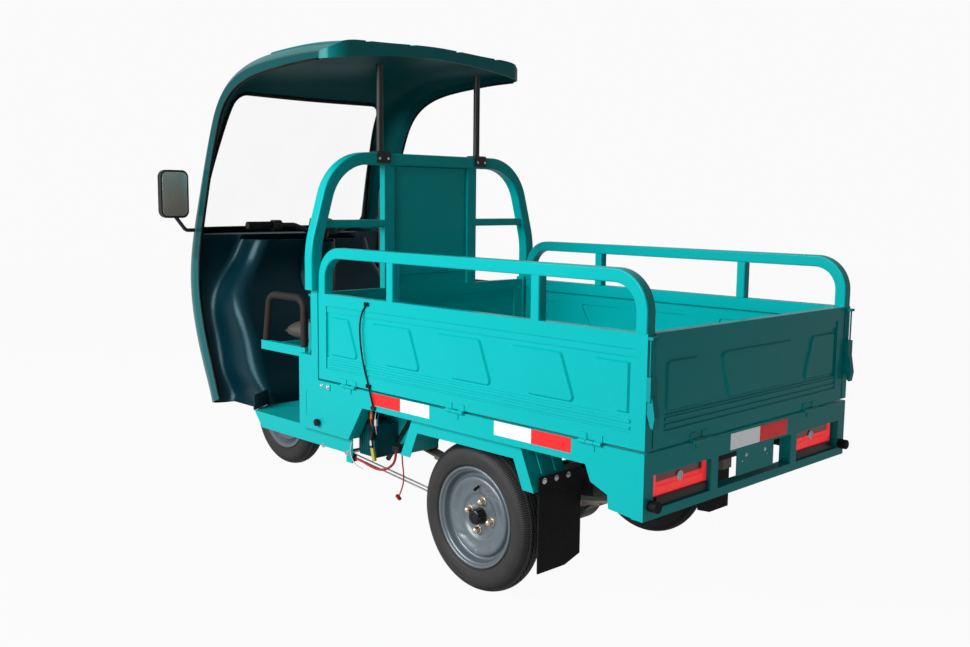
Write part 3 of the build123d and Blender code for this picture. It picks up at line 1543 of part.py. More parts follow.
with BuildPart() as rear_frame:
    with BuildSketch(Plane.XY.offset(rear_frame_bottom)):
        with Locations((tail_x + rear_frame_depth / 2, 0)):
            Rectangle(rear_frame_depth, 2 * (bed_half_width - sheet))
    extrude(amount=rear_tube_height)
    for side in (1, -1):
        for centre_y, width in (
            (rear_post_y, rear_post_width),
            (corner_inner_y + rear_corner_width / 2, rear_corner_width),
        ):
            with BuildSketch(Plane.XY.offset(rear_frame_bottom)):
                with Locations((tail_x + rear_frame_depth / 2, side * centre_y)):
                    Rectangle(rear_frame_depth, width)
            extrude(amount=band_bottom_z - rear_frame_bottom)
        with BuildSketch(Plane.XZ.offset(-side * bed_half_width)):
            with BuildLine():
                Polyline(
                    (tail_x, band_bottom_z),
                    (tail_x, rear_frame_bottom),
                    (tail_x + 0.58 * corner_panel_length, rear_frame_bottom + 12),
                    (tail_x + 0.60 * corner_panel_length, rear_frame_bottom + 50),
                    (tail_x + 0.90 * corner_panel_length, rear_frame_bottom + 74),
                    (tail_x + corner_panel_length, band_bottom_z),
                    close=True,
                )
            make_face()
        extrude(amount=side * sheet)
rear_frame.part.label = "rear_frame"
export_step(rear_frame.part, "parts/rear_frame.step")

with BuildPart() as tail_lamps:
    for side in (1, -1):
        with BuildSketch(Plane.YZ.offset(tail_x - 4)):
            with Locations((side * lamp_y, band_bottom_z - lamp_height / 2)):
                RectangleRounded(lamp_width, lamp_height, 6)
        extrude(amount=lamp_depth)
tail_lamps.part.label = "tail_lamps"
export_step(tail_lamps.part, "parts/tail_lamps.step")

with BuildPart() as plate_holder:
    with BuildSketch(Plane.YZ.offset(tail_x + 2)):
        with Locations((0, band_bottom_z - plate_height / 2)):
            Rectangle(plate_width, plate_height)
    extrude(amount=sheet)
    with BuildSketch(Plane.YZ.offset(tail_x)):
        with Locations((0, band_bottom_z - plate_height / 2)):
            with GridLocations(plate_hole_spacing, 1, 2, 1):
                Circle(plate_hole_radius)
    extrude(amount=20, mode=Mode.SUBTRACT)
plate_holder.part.label = "plate_holder"
export_step(plate_holder.part, "parts/plate_holder.step")

with BuildPart() as bumper_stubs:
    with BuildSketch(Plane.YZ.offset(tail_x)):
        with Locations((0, stub_z)):
            with GridLocations(2 * stub_y, 1, 2, 1):
                Circle(stub_radius)
    extrude(amount=-stub_length)
bumper_stubs.part.label = "bumper_stubs"
export_step(bumper_stubs.part, "parts/bumper_stubs.step")

mirror_x = bed_front_x + mirror_setback
mirror_foot_x = mirror_x - mirror_arm_radius - sheet
with BuildPart() as mirrors:
    for side in (1, -1):
        mirror_y = side * (shell_half_width + mirror_out)
        with BuildSketch(Plane.YZ.offset(mirror_x - mirror_depth / 2)):
            with Locations((mirror_y, mirror_z)):
                RectangleRounded(mirror_width, mirror_height, mirror_corner)
        extrude(amount=mirror_depth)
    fillet(mirrors.faces().sort_by(Axis.X)[-2:].edges(), radius=mirror_back_round)
    for side in (1, -1):
        with BuildLine() as mirror_arm:
            FilletPolyline(
                (mirror_foot_x, side * shell_half_width, mirror_arm_z),
                (mirror_foot_x, side * (shell_half_width + mirror_arm_out), mirror_arm_z),
                (mirror_x, side * (shell_half_width + mirror_out), mirror_arm_z + mirror_arm_rise),
                radius=mirror_arm_bend,
            )
        with BuildSketch(Plane(mirror_arm.line @ 0, z_dir=mirror_arm.line % 0)):
            Circle(mirror_arm_radius)
        sweep(path=mirror_arm.line)
mirrors.part.label = "mirrors"
export_step(mirrors.part, "parts/mirrors.step")

# ---- brake rods, splash plate and small cables ---------------------------------------------
drum_face_y = rear_wheel_y - 22 - drum_width
low_rail_bottom = low_rail_top - rail_height * 0.7
with BuildPart() as brake_linkage:
    with BuildSketch(Plane.XZ.offset(brake_shaft_half)):
        with Locations((brake_shaft_x, brake_shaft_z)):
            Circle(brake_shaft_radius)
    extrude(amount=-2 * brake_shaft_half)
    for side in (1, -1):
        # hangers from the low rails
        with BuildSketch(Plane.XZ.offset(-side * rail_y - brake_hanger[1] / 2)):
            with Locations((brake_shaft_x, (low_rail_bottom + brake_shaft_z) / 2)):
                Rectangle(brake_hanger[0], low_rail_bottom - brake_shaft_z)
        extrude(amount=brake_hanger[1])
        # lever on the drum's inner face
        with BuildSketch(Plane.XZ.offset(-side * drum_face_y)):
            with Locations((rear_axle_x + brake_lever_reach, brake_lever_z)):
                RectangleRounded(2.4 * brake_lever[0], 1.6 * brake_lever[0], brake_lever[0] / 2)
        extrude(amount=side * brake_lever[1])
        for step in (-0.5, 0.5):
            rear = Vector(rear_axle_x + brake_lever_reach, side * brake_rod_y, brake_lever_z + step * brake_rod_pitch)
            front = Vector(brake_shaft_x, side * brake_rod_y, brake_shaft_z + step * brake_rod_pitch)
            with BuildSketch(Plane(rear, z_dir=front - rear)):
                Circle(brake_rod_radius)
            extrude(amount=(front - rear).length)
brake_linkage.part.label = "brake_linkage"
export_step(brake_linkage.part, "parts/brake_linkage.step")

with BuildPart() as splash_plate:
    with BuildSketch(Plane.XZ.offset(-splash_y)):
        with BuildLine():
            Polyline(
                (splash_rear, rail_top_z_),
                (splash_front, rail_top_z_),
                (splash_front, splash_low_z + 50),
                (splash_front - 30, splash_low_z),
                (splash_rear + 45, splash_low_z),
                (splash_rear + 8, splash_low_z + 26),
                close=True,
            )
        make_face()
    extrude(amount=-sheet)
splash_plate.part.label = "splash_plate"
export_step(splash_plate.part, "parts/splash_plate.step")

# Cable fixed up the left drop side, with a clip at each end
with BuildPart() as side_cable:
    with BuildLine() as side_run:
        cord_line("side cable", side_cable_points, side_cable_radius)
    with BuildSketch(Plane(side_run.line @ 0, z_dir=side_run.line % 0)):
        Circle(side_cable_radius)
    sweep(path=side_run.line)
    for point in (side_cable_points[0], side_cable_points[-1]):
        with BuildSketch(Plane.XZ.offset(-bed_half_width)):
            with Locations((point[0], point[2])):
                Rectangle(cable_clip[0], cable_clip[1])
        extrude(amount=-cable_clip_proud)
side_cable.part.label = "side_cable"
export_step(side_cable.part, "parts/side_cable.step")

with BuildPart() as cord_clips:
    # on the bed's edge, where the loose cable starts
    with BuildSketch(Plane.XZ.offset(-bed_half_width)):
        with Locations((loom_points[0][0], loom_points[0][2] + cable_clip[1] / 2)):
            Rectangle(cable_clip[0], cable_clip[1])
    extrude(amount=-cable_clip_proud)
    # behind the sill's tab, where the hose starts
    with BuildSketch(Plane.YZ.offset(hose_points[0][0])):
        with Locations(((deck_half_width - sheet + hose_points[0][1] - hose_block[0] / 2) / 2, hose_points[0][2])):
            Rectangle(deck_half_width - sheet - hose_points[0][1] + hose_block[0] / 2, hose_block[1])
    extrude(amount=hose_block[0])
    # on the splash plate, where the hose ends and the strap hangs
    with BuildSketch(Plane.XY.offset(hose_points[-1][2])):
        with Locations(((hose_points[-1][0] + strap_points[0][0]) / 2, (splash_y + sheet + hose_points[-1][1] + 9) / 2)):
            Rectangle(hose_block[0] + 14, hose_points[-1][1] + 9 - splash_y - sheet)
    extrude(amount=hose_block[0])
cord_clips.part.label = "cord_clips"
export_step(cord_clips.part, "parts/cord_clips.step")

for name, points, radius in (
    ("loom_cable", loom_points, side_cable_radius),
    ("red_hose", hose_points, hose_radius),
    ("red_strap", strap_points, strap_radius),
):
    with BuildPart() as cord:
        with BuildLine() as run:
            line = cord_line(name, points, radius)
        with BuildSketch(Plane(run.line @ 0, z_dir=run.line % 0)):
            Circle(radius)
        sweep(path=run.line)
    cord.part.label = name
    export_step(cord.part, f"parts/{name}.step")
    print(name, "volume over section by length", round(cord.part.volume / (pi * radius**2 * line.length), 4))

with BuildPart() as loom_plug:
    plug_width, plug_thick, plug_length = loom_plug_size
    plug_way = Vector(*loom_points[-1]) - Vector(*loom_points[-2])
    with BuildSketch(Plane(loom_points[-1], x_dir=(0, 1, 0), z_dir=plug_way)):
        RectangleRounded(plug_thick, plug_width, side_cable_radius)
    extrude(amount=plug_length)
loom_plug.part.label = "loom_plug"
export_step(loom_plug.part, "parts/loom_plug.step")

with BuildPart() as strap_foot:
    foot_length, foot_width, foot_thick = strap_foot_size
    foot_way = Vector(*strap_points[-1]) - Vector(*strap_points[-2])
    with BuildSketch(Plane(strap_points[-1], x_dir=(0, 1, 0), z_dir=foot_way)):
        RectangleRounded(foot_width, foot_length, strap_radius)
    extrude(amount=foot_thick)
strap_foot.part.label = "strap_foot"
export_step(strap_foot.part, "parts/strap_foot.step")

print("front axle at", round(front_axle_x, 1), "wheelbase", round(front_axle_x - rear_axle_x, 1))
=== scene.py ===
import json

import bmesh
import bpy
import numpy as np
from mathutils import Matrix, Vector
from mathutils.bvhtree import BVHTree


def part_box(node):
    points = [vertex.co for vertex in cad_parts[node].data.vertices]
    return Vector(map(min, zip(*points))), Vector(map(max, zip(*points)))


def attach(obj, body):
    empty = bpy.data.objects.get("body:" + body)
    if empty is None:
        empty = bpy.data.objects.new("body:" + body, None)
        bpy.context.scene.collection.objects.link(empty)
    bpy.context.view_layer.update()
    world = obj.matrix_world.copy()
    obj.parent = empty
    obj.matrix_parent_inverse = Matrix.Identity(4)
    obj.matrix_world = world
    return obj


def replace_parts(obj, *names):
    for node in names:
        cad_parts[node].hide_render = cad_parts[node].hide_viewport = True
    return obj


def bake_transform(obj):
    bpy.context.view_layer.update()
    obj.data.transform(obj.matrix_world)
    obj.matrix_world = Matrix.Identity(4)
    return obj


# Electric cargo tricycle: the finishes, cords, tyres, trim, lamps and small hardware over
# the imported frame. Metres, +X forward, +Y left, +Z up.

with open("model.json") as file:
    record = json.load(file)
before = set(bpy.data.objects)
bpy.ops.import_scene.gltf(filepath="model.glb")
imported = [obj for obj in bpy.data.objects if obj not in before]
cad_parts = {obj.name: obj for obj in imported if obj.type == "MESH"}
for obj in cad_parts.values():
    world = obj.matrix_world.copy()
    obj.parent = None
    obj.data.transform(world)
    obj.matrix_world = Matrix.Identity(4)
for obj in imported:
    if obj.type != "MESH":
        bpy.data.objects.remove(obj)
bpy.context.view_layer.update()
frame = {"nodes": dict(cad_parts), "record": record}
nodes = frame["nodes"]
SIDES = ((1, "left"), (-1, "right"))
REARWARD = (-1, 0, 0)


# ---- shader kit ----------------------------------------------------------------------------
class Value:
    """A shader socket; + - * / between values or numbers add Math nodes."""

    def __init__(self, finish, socket):
        self.finish, self.socket = finish, socket

    def maths(self, operation, *terms):
        return self.finish.node("ShaderNodeMath", {"operation": operation}, dict(enumerate(terms)))

    def __add__(self, other):
        return self.maths("ADD", self, other)

    __radd__ = __add__

    def __sub__(self, other):
        return self.maths("SUBTRACT", self, other)

    def __rsub__(self, other):
        return self.maths("SUBTRACT", other, self)

    def __mul__(self, other):
        return self.maths("MULTIPLY", self, other)

    __rmul__ = __mul__

    def __truediv__(self, other):
        return self.maths("DIVIDE", self, other)

    def absolute(self):
        return self.maths("ABSOLUTE", self)

    def above(self, other):
        return self.maths("GREATER_THAN", self, other)

    def largest(self, other):
        return self.maths("MAXIMUM", self, other)

    def sine(self):
        return self.maths("SINE", self)


class Tree:
    """A node tree; its nodes come from one method."""

    def __init__(self, tree):
        self.tree = tree

    def feed(self, socket, value):
        if isinstance(value, Value):
            self.tree.links.new(value.socket, socket)
        else:
            socket.default_value = value

    def node(self, kind, settings=None, sockets=None, output=0):
        """Adds a node: its settings first (a ramp's stops too), then its sockets' values or links."""
        made = self.tree.nodes.new(kind)
        for key, value in (settings or {}).items():
            if key == "stops":
                ramp = made.color_ramp.elements
                while len(ramp) < len(value):
                    ramp.new(0.5)
                for stop, (place, tone) in zip(ramp, value):
                    stop.position = place
                    stop.color = tone if isinstance(tone, tuple) else (tone, tone, tone, 1)
            else:
                setattr(made, key, value)
        for key, value in (sockets or {}).items():
            self.feed(made.inputs[key], value)
        return Value(self, made.outputs[output])


class Finish(Tree):
    """A material: its node tree and the Principled shader that it ends in."""

    def __init__(self, name, **sockets):
        self.material = bpy.data.materials.new(name)
        self.material.use_nodes = True
        super().__init__(self.material.node_tree)
        self.shader = self.tree.nodes["Principled BSDF"]
        self.output = self.tree.nodes["Material Output"]
        self.set(**sockets)

    def set(self, **sockets):
        for key, value in sockets.items():
            self.feed(self.shader.inputs[key.replace("_", " ")], value)

    def place(self):
        return self.node("ShaderNodeTexCoord", output="Object")

    def stretch(self, scale):
        return self.node("ShaderNodeMapping", sockets={"Vector": self.place(), "Scale": scale})

    def axes(self):
        """The three coordinates of a point as values."""
        first = self.node("ShaderNodeSeparateXYZ", sockets={0: self.place()})
        outs = first.socket.node.outputs
        return first, Value(self, outs[1]), Value(self, outs[2])

    def noise(self, scale, detail=3.0, rough=0.5, vector=None):
        return self.node(
            "ShaderNodeTexNoise",
            sockets={"Vector": vector or self.place(), "Scale": scale, "Detail": detail, "Roughness": rough},
        )

    def ramp(self, value, *stops):
        return self.node("ShaderNodeValToRGB", {"stops": stops}, {0: value})

    def patches(self, scale, detail, low, high, rough=0.5):
        """Noise cut to soft patches: 0 below a low value, 1 above a high one."""
        return self.ramp(self.noise(scale, detail, rough), (low, 0.0), (high, 1.0))

    def mix(self, share, first, second):
        """Two colours mixed by a share."""
        return self.node(
            "ShaderNodeMix",
            {"data_type": "RGBA"},
            {0: share, 6: first, 7: second},
            output=2,
        )

    def cells(self, scale):
        """Distance to the nearest edge of a cell pattern."""
        sockets = {"Vector": self.place(), "Scale": scale}
        return self.node("ShaderNodeTexVoronoi", {"feature": "DISTANCE_TO_EDGE"}, sockets)

    def bump(self, height, strength, distance=0.001):
        return self.node("ShaderNodeBump", sockets={"Height": height, "Strength": strength, "Distance": distance})


def tone(red, green, blue):
    return (red, green, blue, 1.0)


# ---- finishes ------------------------------------------------------------------------------
def enamel(name, colour, shade, rough=0.26, level=0.3, coat=0.05):
    """Baked gloss enamel: slight orange peel, large soft drifts of tone, dust low on the body."""
    finish = Finish(name, Specular_IOR_Level=level, Specular_Tint=tone(0.3, 1.0, 1.0), Coat_Roughness=0.12)
    drift = finish.patches(1.7, 2.0, 0.35, 0.65)
    fine = finish.noise(26.0, 5.0, 0.6)
    height = finish.axes()[2]
    dust = finish.ramp(height + fine * 0.12, (0.3, 1.0), (0.62, 0.0))
    base = finish.mix(drift * 0.35, colour, shade)
    base = finish.mix(dust * 0.06, base, tone(0.16, 0.22, 0.21))
    finish.set(
        Base_Color=base,
        Roughness=rough + fine * 0.08 + dust * 0.12,
        Coat_Weight=coat * (1.0 - dust),
        Normal=finish.bump(finish.noise(420.0, 1.0), 0.05, 0.0006),
    )
    return finish.material


def gel_coat():
    """The roof moulding: teal outside; painted shade darkens its side edges and its inner side, the inner side most
    towards its foot.
    """
    finish = Finish("moulding_teal", Specular_IOR_Level=0.25, Specular_Tint=tone(0.15, 1.0, 1.0), Coat_Roughness=0.08)
    geometry = finish.node("ShaderNodeNewGeometry", output=0)
    normal = Value(finish, geometry.socket.node.outputs["Normal"])
    away = finish.node("ShaderNodeVectorMath", {"operation": "SUBTRACT"}, {0: finish.place(), 1: (0.72, 0.0, 1.05)})
    facing = finish.node("ShaderNodeVectorMath", {"operation": "DOT_PRODUCT"}, {0: normal, 1: away}, output=1)
    inside = finish.ramp(facing, (0.0, 1.0), (0.02, 0.0))
    height = finish.axes()[2]
    # painted shade on the inner side: near black at its foot, rising to a dark teal under the roof
    under = finish.ramp((height - 1.15) * 2.0, (0.0, tone(0.0, 0.016, 0.022)), (1.0, tone(0.0, 0.105, 0.115)))
    drift = finish.patches(2.2, 2.0, 0.35, 0.65)
    outer = finish.mix(drift * 0.5, tone(0.0, 0.21, 0.22), tone(0.0, 0.15, 0.165))
    # painted shade along the side edges: near black above the waist, a darker teal below it
    wall = finish.ramp(
        finish.axes()[1].absolute(), (0.492, 0.0), (0.497, 1.0),
    ) * finish.ramp(height, (0.95, 0.0), (1.25, 1.0))
    outer = finish.mix(wall * 0.75, outer, tone(0.0, 0.035, 0.04))
    foot = finish.ramp(
        finish.axes()[1].absolute(), (0.49, 0.0), (0.496, 1.0),
    ) * finish.ramp(height, (0.95, 1.0), (1.25, 0.0))
    outer = finish.mix(foot * 0.6, outer, tone(0.0, 0.07, 0.08))
    finish.set(
        Base_Color=finish.mix(inside, outer, under),
        Roughness=0.22 + inside * 0.12 + finish.noise(30.0) * 0.06,
        Coat_Weight=0.16 - inside * 0.12,
        Normal=finish.bump(finish.noise(9.0, 2.0), 0.08, 0.004),
    )
    return finish.material


def satin(name, colour, second, rough, grain=180.0, relief=0.12, metal=0.0, level=0.4):
    """Powder coat or moulded plastic: a fine grain, with broad patches of a second colour: dust held in it, but a
    painted highlight on the foam sleeve.
    """
    finish = Finish(name, Specular_IOR_Level=level, Metallic=metal)
    fine = finish.noise(grain, 3.0, 0.6)
    broad = finish.patches(6.0, 4.0, 0.4, 0.7)
    finish.set(
        Base_Color=finish.mix(broad * 0.5, colour, second),
        Roughness=rough + fine * 0.14 + broad * 0.06,
        Normal=finish.bump(fine, relief, 0.0008),
    )
    return finish.material


def gloss_dark():
    """The dash, console and toe guards: blue-black moulding of half gloss with faint scratches."""
    finish = Finish("moulding_dark", Specular_IOR_Level=0.28, Specular_Tint=tone(0.4, 0.85, 1.0), Coat_Roughness=0.22)
    broad = finish.patches(3.0, 3.0, 0.35, 0.7)
    hair = finish.noise(90.0, 2.0, 0.5, finish.stretch((1.0, 6.0, 0.4)))
    finish.set(
        Base_Color=finish.mix(broad * 0.6, tone(0.0, 0.024, 0.038), tone(0.001, 0.01, 0.016)),
        Roughness=0.3 + hair * 0.1,
        Coat_Weight=0.06 + broad * 0.08,
        Normal=finish.bump(finish.noise(14.0, 2.0), 0.06, 0.003),
    )
    return finish.material


def glass():
    finish = Finish("pane", Specular_IOR_Level=0.5)
    smear = finish.patches(5.0, 5.0, 0.45, 0.8, 0.6)
    finish.set(Base_Color=tone(0.85, 0.97, 0.97), Roughness=0.03 + smear * 0.05, Alpha=0.015 + smear * 0.01)
    return finish.material


def clear_lens():
    """Clear front lenses: bright reflector seen through fluted plastic."""
    finish = Finish("lens_clear", Specular_IOR_Level=0.6)
    across = finish.axes()[1]
    flute = (across * 700.0).sine()
    finish.set(
        Base_Color=finish.mix(finish.noise(40.0) * 0.5, tone(0.78, 0.8, 0.82), tone(0.42, 0.45, 0.48)),
        Roughness=0.08 + finish.noise(60.0) * 0.05,
        Metallic=0.55,
        Normal=finish.bump(flute, 0.35, 0.001),
    )
    return finish.material


def red_lens():
    finish = Finish("lens_red", Specular_IOR_Level=0.5)
    row = finish.axes()[2]
    prism = (row * 2600.0).sine() * (finish.axes()[1] * 2600.0).sine()
    finish.set(
        Base_Color=finish.mix(finish.noise(30.0) * 0.4, tone(0.8, 0.018, 0.022), tone(0.55, 0.006, 0.01)),
        Roughness=0.12 + finish.noise(80.0) * 0.06,
        Coat_Weight=0.6,
        # painted glow: the lens gives off light though the lamp is not lit
        Emission_Color=tone(0.5, 0.01, 0.012),
        Emission_Strength=0.25,
        Normal=finish.bump(prism, 0.25, 0.0006),
    )
    return finish.material


def rubber(name, colour=0.022, rough=0.62, level=0.35):
    """Tyre and mat rubber: fine moulded grain and pale dust."""
    finish = Finish(name, Specular_IOR_Level=level)
    fine = finish.noise(300.0, 3.0)
    dust = finish.patches(11.0, 6.0, 0.42, 0.78, 0.65)
    finish.set(
        Base_Color=finish.mix(dust * 0.35, tone(colour, colour, colour * 1.05), tone(0.075, 0.07, 0.068)),
        Roughness=rough + fine * 0.12 + dust * 0.1,
        Normal=finish.bump(fine, 0.12, 0.0006),
    )
    return finish.material


def vinyl():
    """Grained seat cover, grey-brown."""
    finish = Finish("seat_vinyl", Specular_IOR_Level=0.4)
    cells = finish.cells(420.0)
    broad = finish.patches(7.0, 3.0, 0.35, 0.7)
    finish.set(
        Base_Color=finish.mix(broad * 0.4, tone(0.115, 0.1, 0.088), tone(0.07, 0.062, 0.056)),
        Roughness=0.44 + broad * 0.12,
        Normal=finish.bump(finish.ramp(cells, (0.0, 0.0), (0.12, 1.0)), 0.35, 0.0006),
    )
    return finish.material


def wheel_enamel():
    """Satin blue-grey wheel enamel with a metallic flake and brake dust in the well."""
    finish = Finish("wheel_grey", Specular_IOR_Level=0.5, Coat_Roughness=0.2)
    dust = finish.patches(9.0, 6.0, 0.4, 0.75, 0.6)
    flake = finish.noise(900.0, 1.0)
    finish.set(
        Base_Color=finish.mix(dust * 0.45, tone(0.17, 0.215, 0.245), tone(0.12, 0.135, 0.14)),
        Metallic=0.35,
        Roughness=0.3 + dust * 0.18 + flake * 0.06,
        Coat_Weight=0.35 - dust * 0.3,
        Normal=finish.bump(flake, 0.05, 0.0005),
    )
    return finish.material


def plated(name, colour, rough=0.28):
    """Bright or yellow zinc plating, slightly stained."""
    finish = Finish(name, Metallic=0.9)
    stain = finish.patches(60.0, 5.0, 0.4, 0.72, 0.6)
    finish.set(
        Base_Color=finish.mix(stain * 0.5, colour, tone(colour[0] * 0.5, colour[1] * 0.48, colour[2] * 0.45)),
        Roughness=rough + stain * 0.2,
        Normal=finish.bump(finish.noise(500.0), 0.08, 0.0004),
    )
    return finish.material


def reflective(name, colour, line_colour):
    """Reflective tape: a fine honeycomb, slightly scuffed, with a painted glow of its own."""
    # the emission is painted light that keeps the tape bright in shade
    finish = Finish(name, Specular_IOR_Level=0.3, Coat_Weight=0.2, Coat_Roughness=0.15, Emission_Strength=0.3)
    cells = finish.cells(240.0)
    line = finish.ramp(cells, (0.0, 1.0), (0.1, 0.0))
    scuff = finish.patches(35.0, 5.0, 0.5, 0.8, 0.7)
    face = finish.mix(line * 0.3 + scuff * 0.2, colour, line_colour)
    finish.set(
        Base_Color=face,
        Emission_Color=face,
        Roughness=0.34 + scuff * 0.25,
        Normal=finish.bump(line, 0.12, 0.0004),
    )
    return finish.material


def lamp_lens(middle_y, half_y, middle_z, half_z):
    """Tail lamp: a grey-red upper window, bright red frame and prisms below, by place on the lamp; its red parts give
    off a painted glow.
    """
    # the emission is painted light: the lamp is not lit
    finish = Finish("lamp_lens", Specular_IOR_Level=0.5, Coat_Weight=0.5, Coat_Roughness=0.05, Emission_Strength=0.75)
    _, sideways, height = finish.axes()
    level = (height - middle_z) / half_z
    place = ((sideways.absolute() - middle_y) / half_y).absolute()
    above = finish.ramp(level, (0.1, 0.0), (0.2, 1.0))
    below = finish.ramp(level, (0.8, 1.0), (0.86, 0.0))
    within = finish.ramp(place, (0.84, 1.0), (0.9, 0.0))
    window = above * below * within
    teeth = (sideways * 560.0).sine() * 0.06 + level
    strip = finish.ramp(teeth * 0.5 + 0.5, (0.3, 1.0), (0.36, 0.0))
    base = finish.mix(window, tone(0.8, 0.014, 0.02), tone(0.2, 0.03, 0.028))
    base = finish.mix(strip * within * 0.8, base, tone(1.0, 0.1, 0.1))
    finish.set(
        Base_Color=base,
        Roughness=0.12 + finish.noise(70.0) * 0.08,
        Emission_Color=finish.mix(window, tone(0.8, 0.014, 0.016), tone(0.04, 0.004, 0.004)),
        Normal=finish.bump((sideways * 1100.0).sine() * (1.0 - window), 0.35, 0.0015),
    )
    return finish.material


def mirror_face():
    """Mirror glass with a painted reflection: grey-brown, darker and browner towards its foot, in hazy patches."""
    finish = Finish("mirror_face", Metallic=0.55, Specular_IOR_Level=0.5)
    height = finish.axes()[2]
    # painted reflection: the glass is coloured lighter towards its top
    fall = finish.ramp((height - 1.17) * 5.4, (0.0, 0.0), (1.0, 1.0))
    haze = finish.patches(14.0, 4.0, 0.4, 0.8)
    base = finish.mix(fall, tone(0.62, 0.52, 0.44), tone(0.8, 0.77, 0.72))
    finish.set(Base_Color=finish.mix(haze * 0.3, base, tone(0.5, 0.46, 0.42)), Roughness=0.16 + haze * 0.08)
    return finish.material


finishes = {
    "teal_paint": enamel("enamel_teal", tone(0.0, 0.56, 0.57), tone(0.0, 0.47, 0.49)),
    "teal_moulding": gel_coat(),
    "latch_steel": enamel("enamel_latch", tone(0.0, 0.38, 0.4), tone(0.01, 0.27, 0.29), rough=0.34),
    "black_paint": satin("powder_black", tone(0.008, 0.009, 0.01), tone(0.022, 0.022, 0.023), 0.34),
    "clear_glass": glass(),
    "lamp_clear": clear_lens(),
    "dark_moulding": gloss_dark(),
    "seat_cover": vinyl(),
    # the foam sleeve's reddish second colour is a painted highlight, spread in broad patches
    "black_foam": satin("foam_sleeve", tone(0.01, 0.008, 0.009), tone(0.035, 0.012, 0.013), 0.6, 240.0, 0.3),
    "spring_steel": satin("spring_grey", tone(0.3, 0.28, 0.24), tone(0.16, 0.145, 0.12), 0.42, 120.0, 0.15, 0.3),
    "black_rubber": rubber("rubber_flap", 0.006, 0.55, 0.15),
    "lamp_red": red_lens(),
    "black_plastic": satin("plastic_black", tone(0.012, 0.013, 0.015), tone(0.028, 0.03, 0.032), 0.3),
    "zinc_steel": plated("zinc", tone(0.62, 0.6, 0.58)),
    "tyre_rubber": rubber("rubber_tyre", 0.03, 0.5),
    "rim_paint": wheel_enamel(),
    "yellow_nylon": satin("nylon_yellow", tone(0.62, 0.55, 0.1), tone(0.5, 0.42, 0.08), 0.36, 150.0, 0.08),
    "red_sleeve": satin("sleeve_red", tone(0.5, 0.015, 0.015), tone(0.34, 0.01, 0.01), 0.32, 120.0, 0.06),
}
brass = plated("brass_nuts", tone(0.84, 0.66, 0.48), 0.2)
bright = plated("bright_zinc", tone(0.74, 0.74, 0.72), 0.22)
trim_rubber = rubber("rubber_trim", 0.003, 0.36, 0.15)
cap_black = satin("cap_black", tone(0.004, 0.004, 0.005), tone(0.012, 0.012, 0.012), 0.16, 300.0, 0.04)
red_tape = reflective("tape_red", tone(0.84, 0.016, 0.018), tone(0.5, 0.01, 0.01))
white_tape = reflective("tape_white", tone(0.84, 0.85, 0.86), tone(0.6, 0.63, 0.65))
white_wire = satin("wire_white", tone(0.72, 0.72, 0.7), tone(0.55, 0.55, 0.52), 0.4, 90.0, 0.05)
orange_wire = satin("wire_orange", tone(0.72, 0.16, 0.02), tone(0.5, 0.1, 0.02), 0.4, 90.0, 0.05)
blue_paint = enamel("enamel_blue", tone(0.0, 0.1, 0.32), tone(0.0, 0.06, 0.2), rough=0.3)
# a dark copy of the teal enamel for the control box: painted shade
painted_shade_enamel = enamel("enamel_box", tone(0.0, 0.1, 0.12), tone(0.0, 0.06, 0.075), rough=0.3)
mirror_glass = mirror_face()

for part in frame["record"]["subparts"]:
    for place in nodes[part["node"]].material_slots:
        place.material = finishes[part["material_slot"]]


# ---- mesh kit ------------------------------------------------------------------------------
def placed(name, data):
    """An object that holds the data, linked into the scene."""
    made = bpy.data.objects.new(name, data)
    bpy.context.scene.collection.objects.link(made)
    return made


def points_of(mesh):
    points = np.empty(len(mesh.vertices) * 3)
    mesh.vertices.foreach_get("co", points)
    return points.reshape(-1, 3)


def build(name, points, faces, body, finish, sharp=35.0, closed=True):
    """An object from arrays of points and quads. A closed surface has its doubles merged and
    its faces turned outwards; edges sharper than an angle stay crisp."""
    mesh = bpy.data.meshes.new(name)
    mesh.from_pydata(np.asarray(points).tolist(), [], np.asarray(faces).tolist())
    shape = bmesh.new()
    shape.from_mesh(mesh)
    bmesh.ops.remove_doubles(shape, verts=shape.verts, dist=2e-6)
    if closed:
        bmesh.ops.recalc_face_normals(shape, faces=shape.faces)
    shape.to_mesh(mesh)
    shape.free()
    mesh.polygons.foreach_set("use_smooth", np.ones(len(mesh.polygons), bool))
    mesh.set_sharp_from_angle(angle=np.radians(sharp))
    mesh.materials.append(finish)
    made = placed(name, mesh)
    if body:
        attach(made, body)
    return made


def grid_quads(rows, columns, round_rows=False, round_columns=False):
    """Quads of a grid of points; a round direction closes on itself."""
    row, column = np.meshgrid(
        np.arange(rows if round_rows else rows - 1),
        np.arange(columns if round_columns else columns - 1),
        indexing="ij",
    )
    row_on, column_on = (row + 1) % rows, (column + 1) % columns
    corners = (row * columns + column, row * columns + column_on)
    corners += (row_on * columns + column_on, row_on * columns + column)
    return np.stack(corners, -1).reshape(-1, 4)


def surface(name, points, body, finish, round_rows=False, round_columns=True, sharp=35.0):
    """A piece from an array of rows x columns x 3 points."""
    rows, columns = points.shape[:2]
    quads = grid_quads(rows, columns, round_rows, round_columns)
    return build(name, points.reshape(-1, 3), quads, body, finish, sharp)


def upright(normal, along=(0.0, 0.0, 1.0)):
    """Two directions across a normal, the second nearest to `along`."""
    normal = np.array(normal, float) / np.linalg.norm(normal)
    along = np.array(along, float)
    if abs(normal @ along) > 0.95 * np.linalg.norm(along):
        along = np.array([1.0, 0.0, 0.0])
    across = np.cross(along, normal)
    across /= np.linalg.norm(across)
    return across, np.cross(normal, across), normal


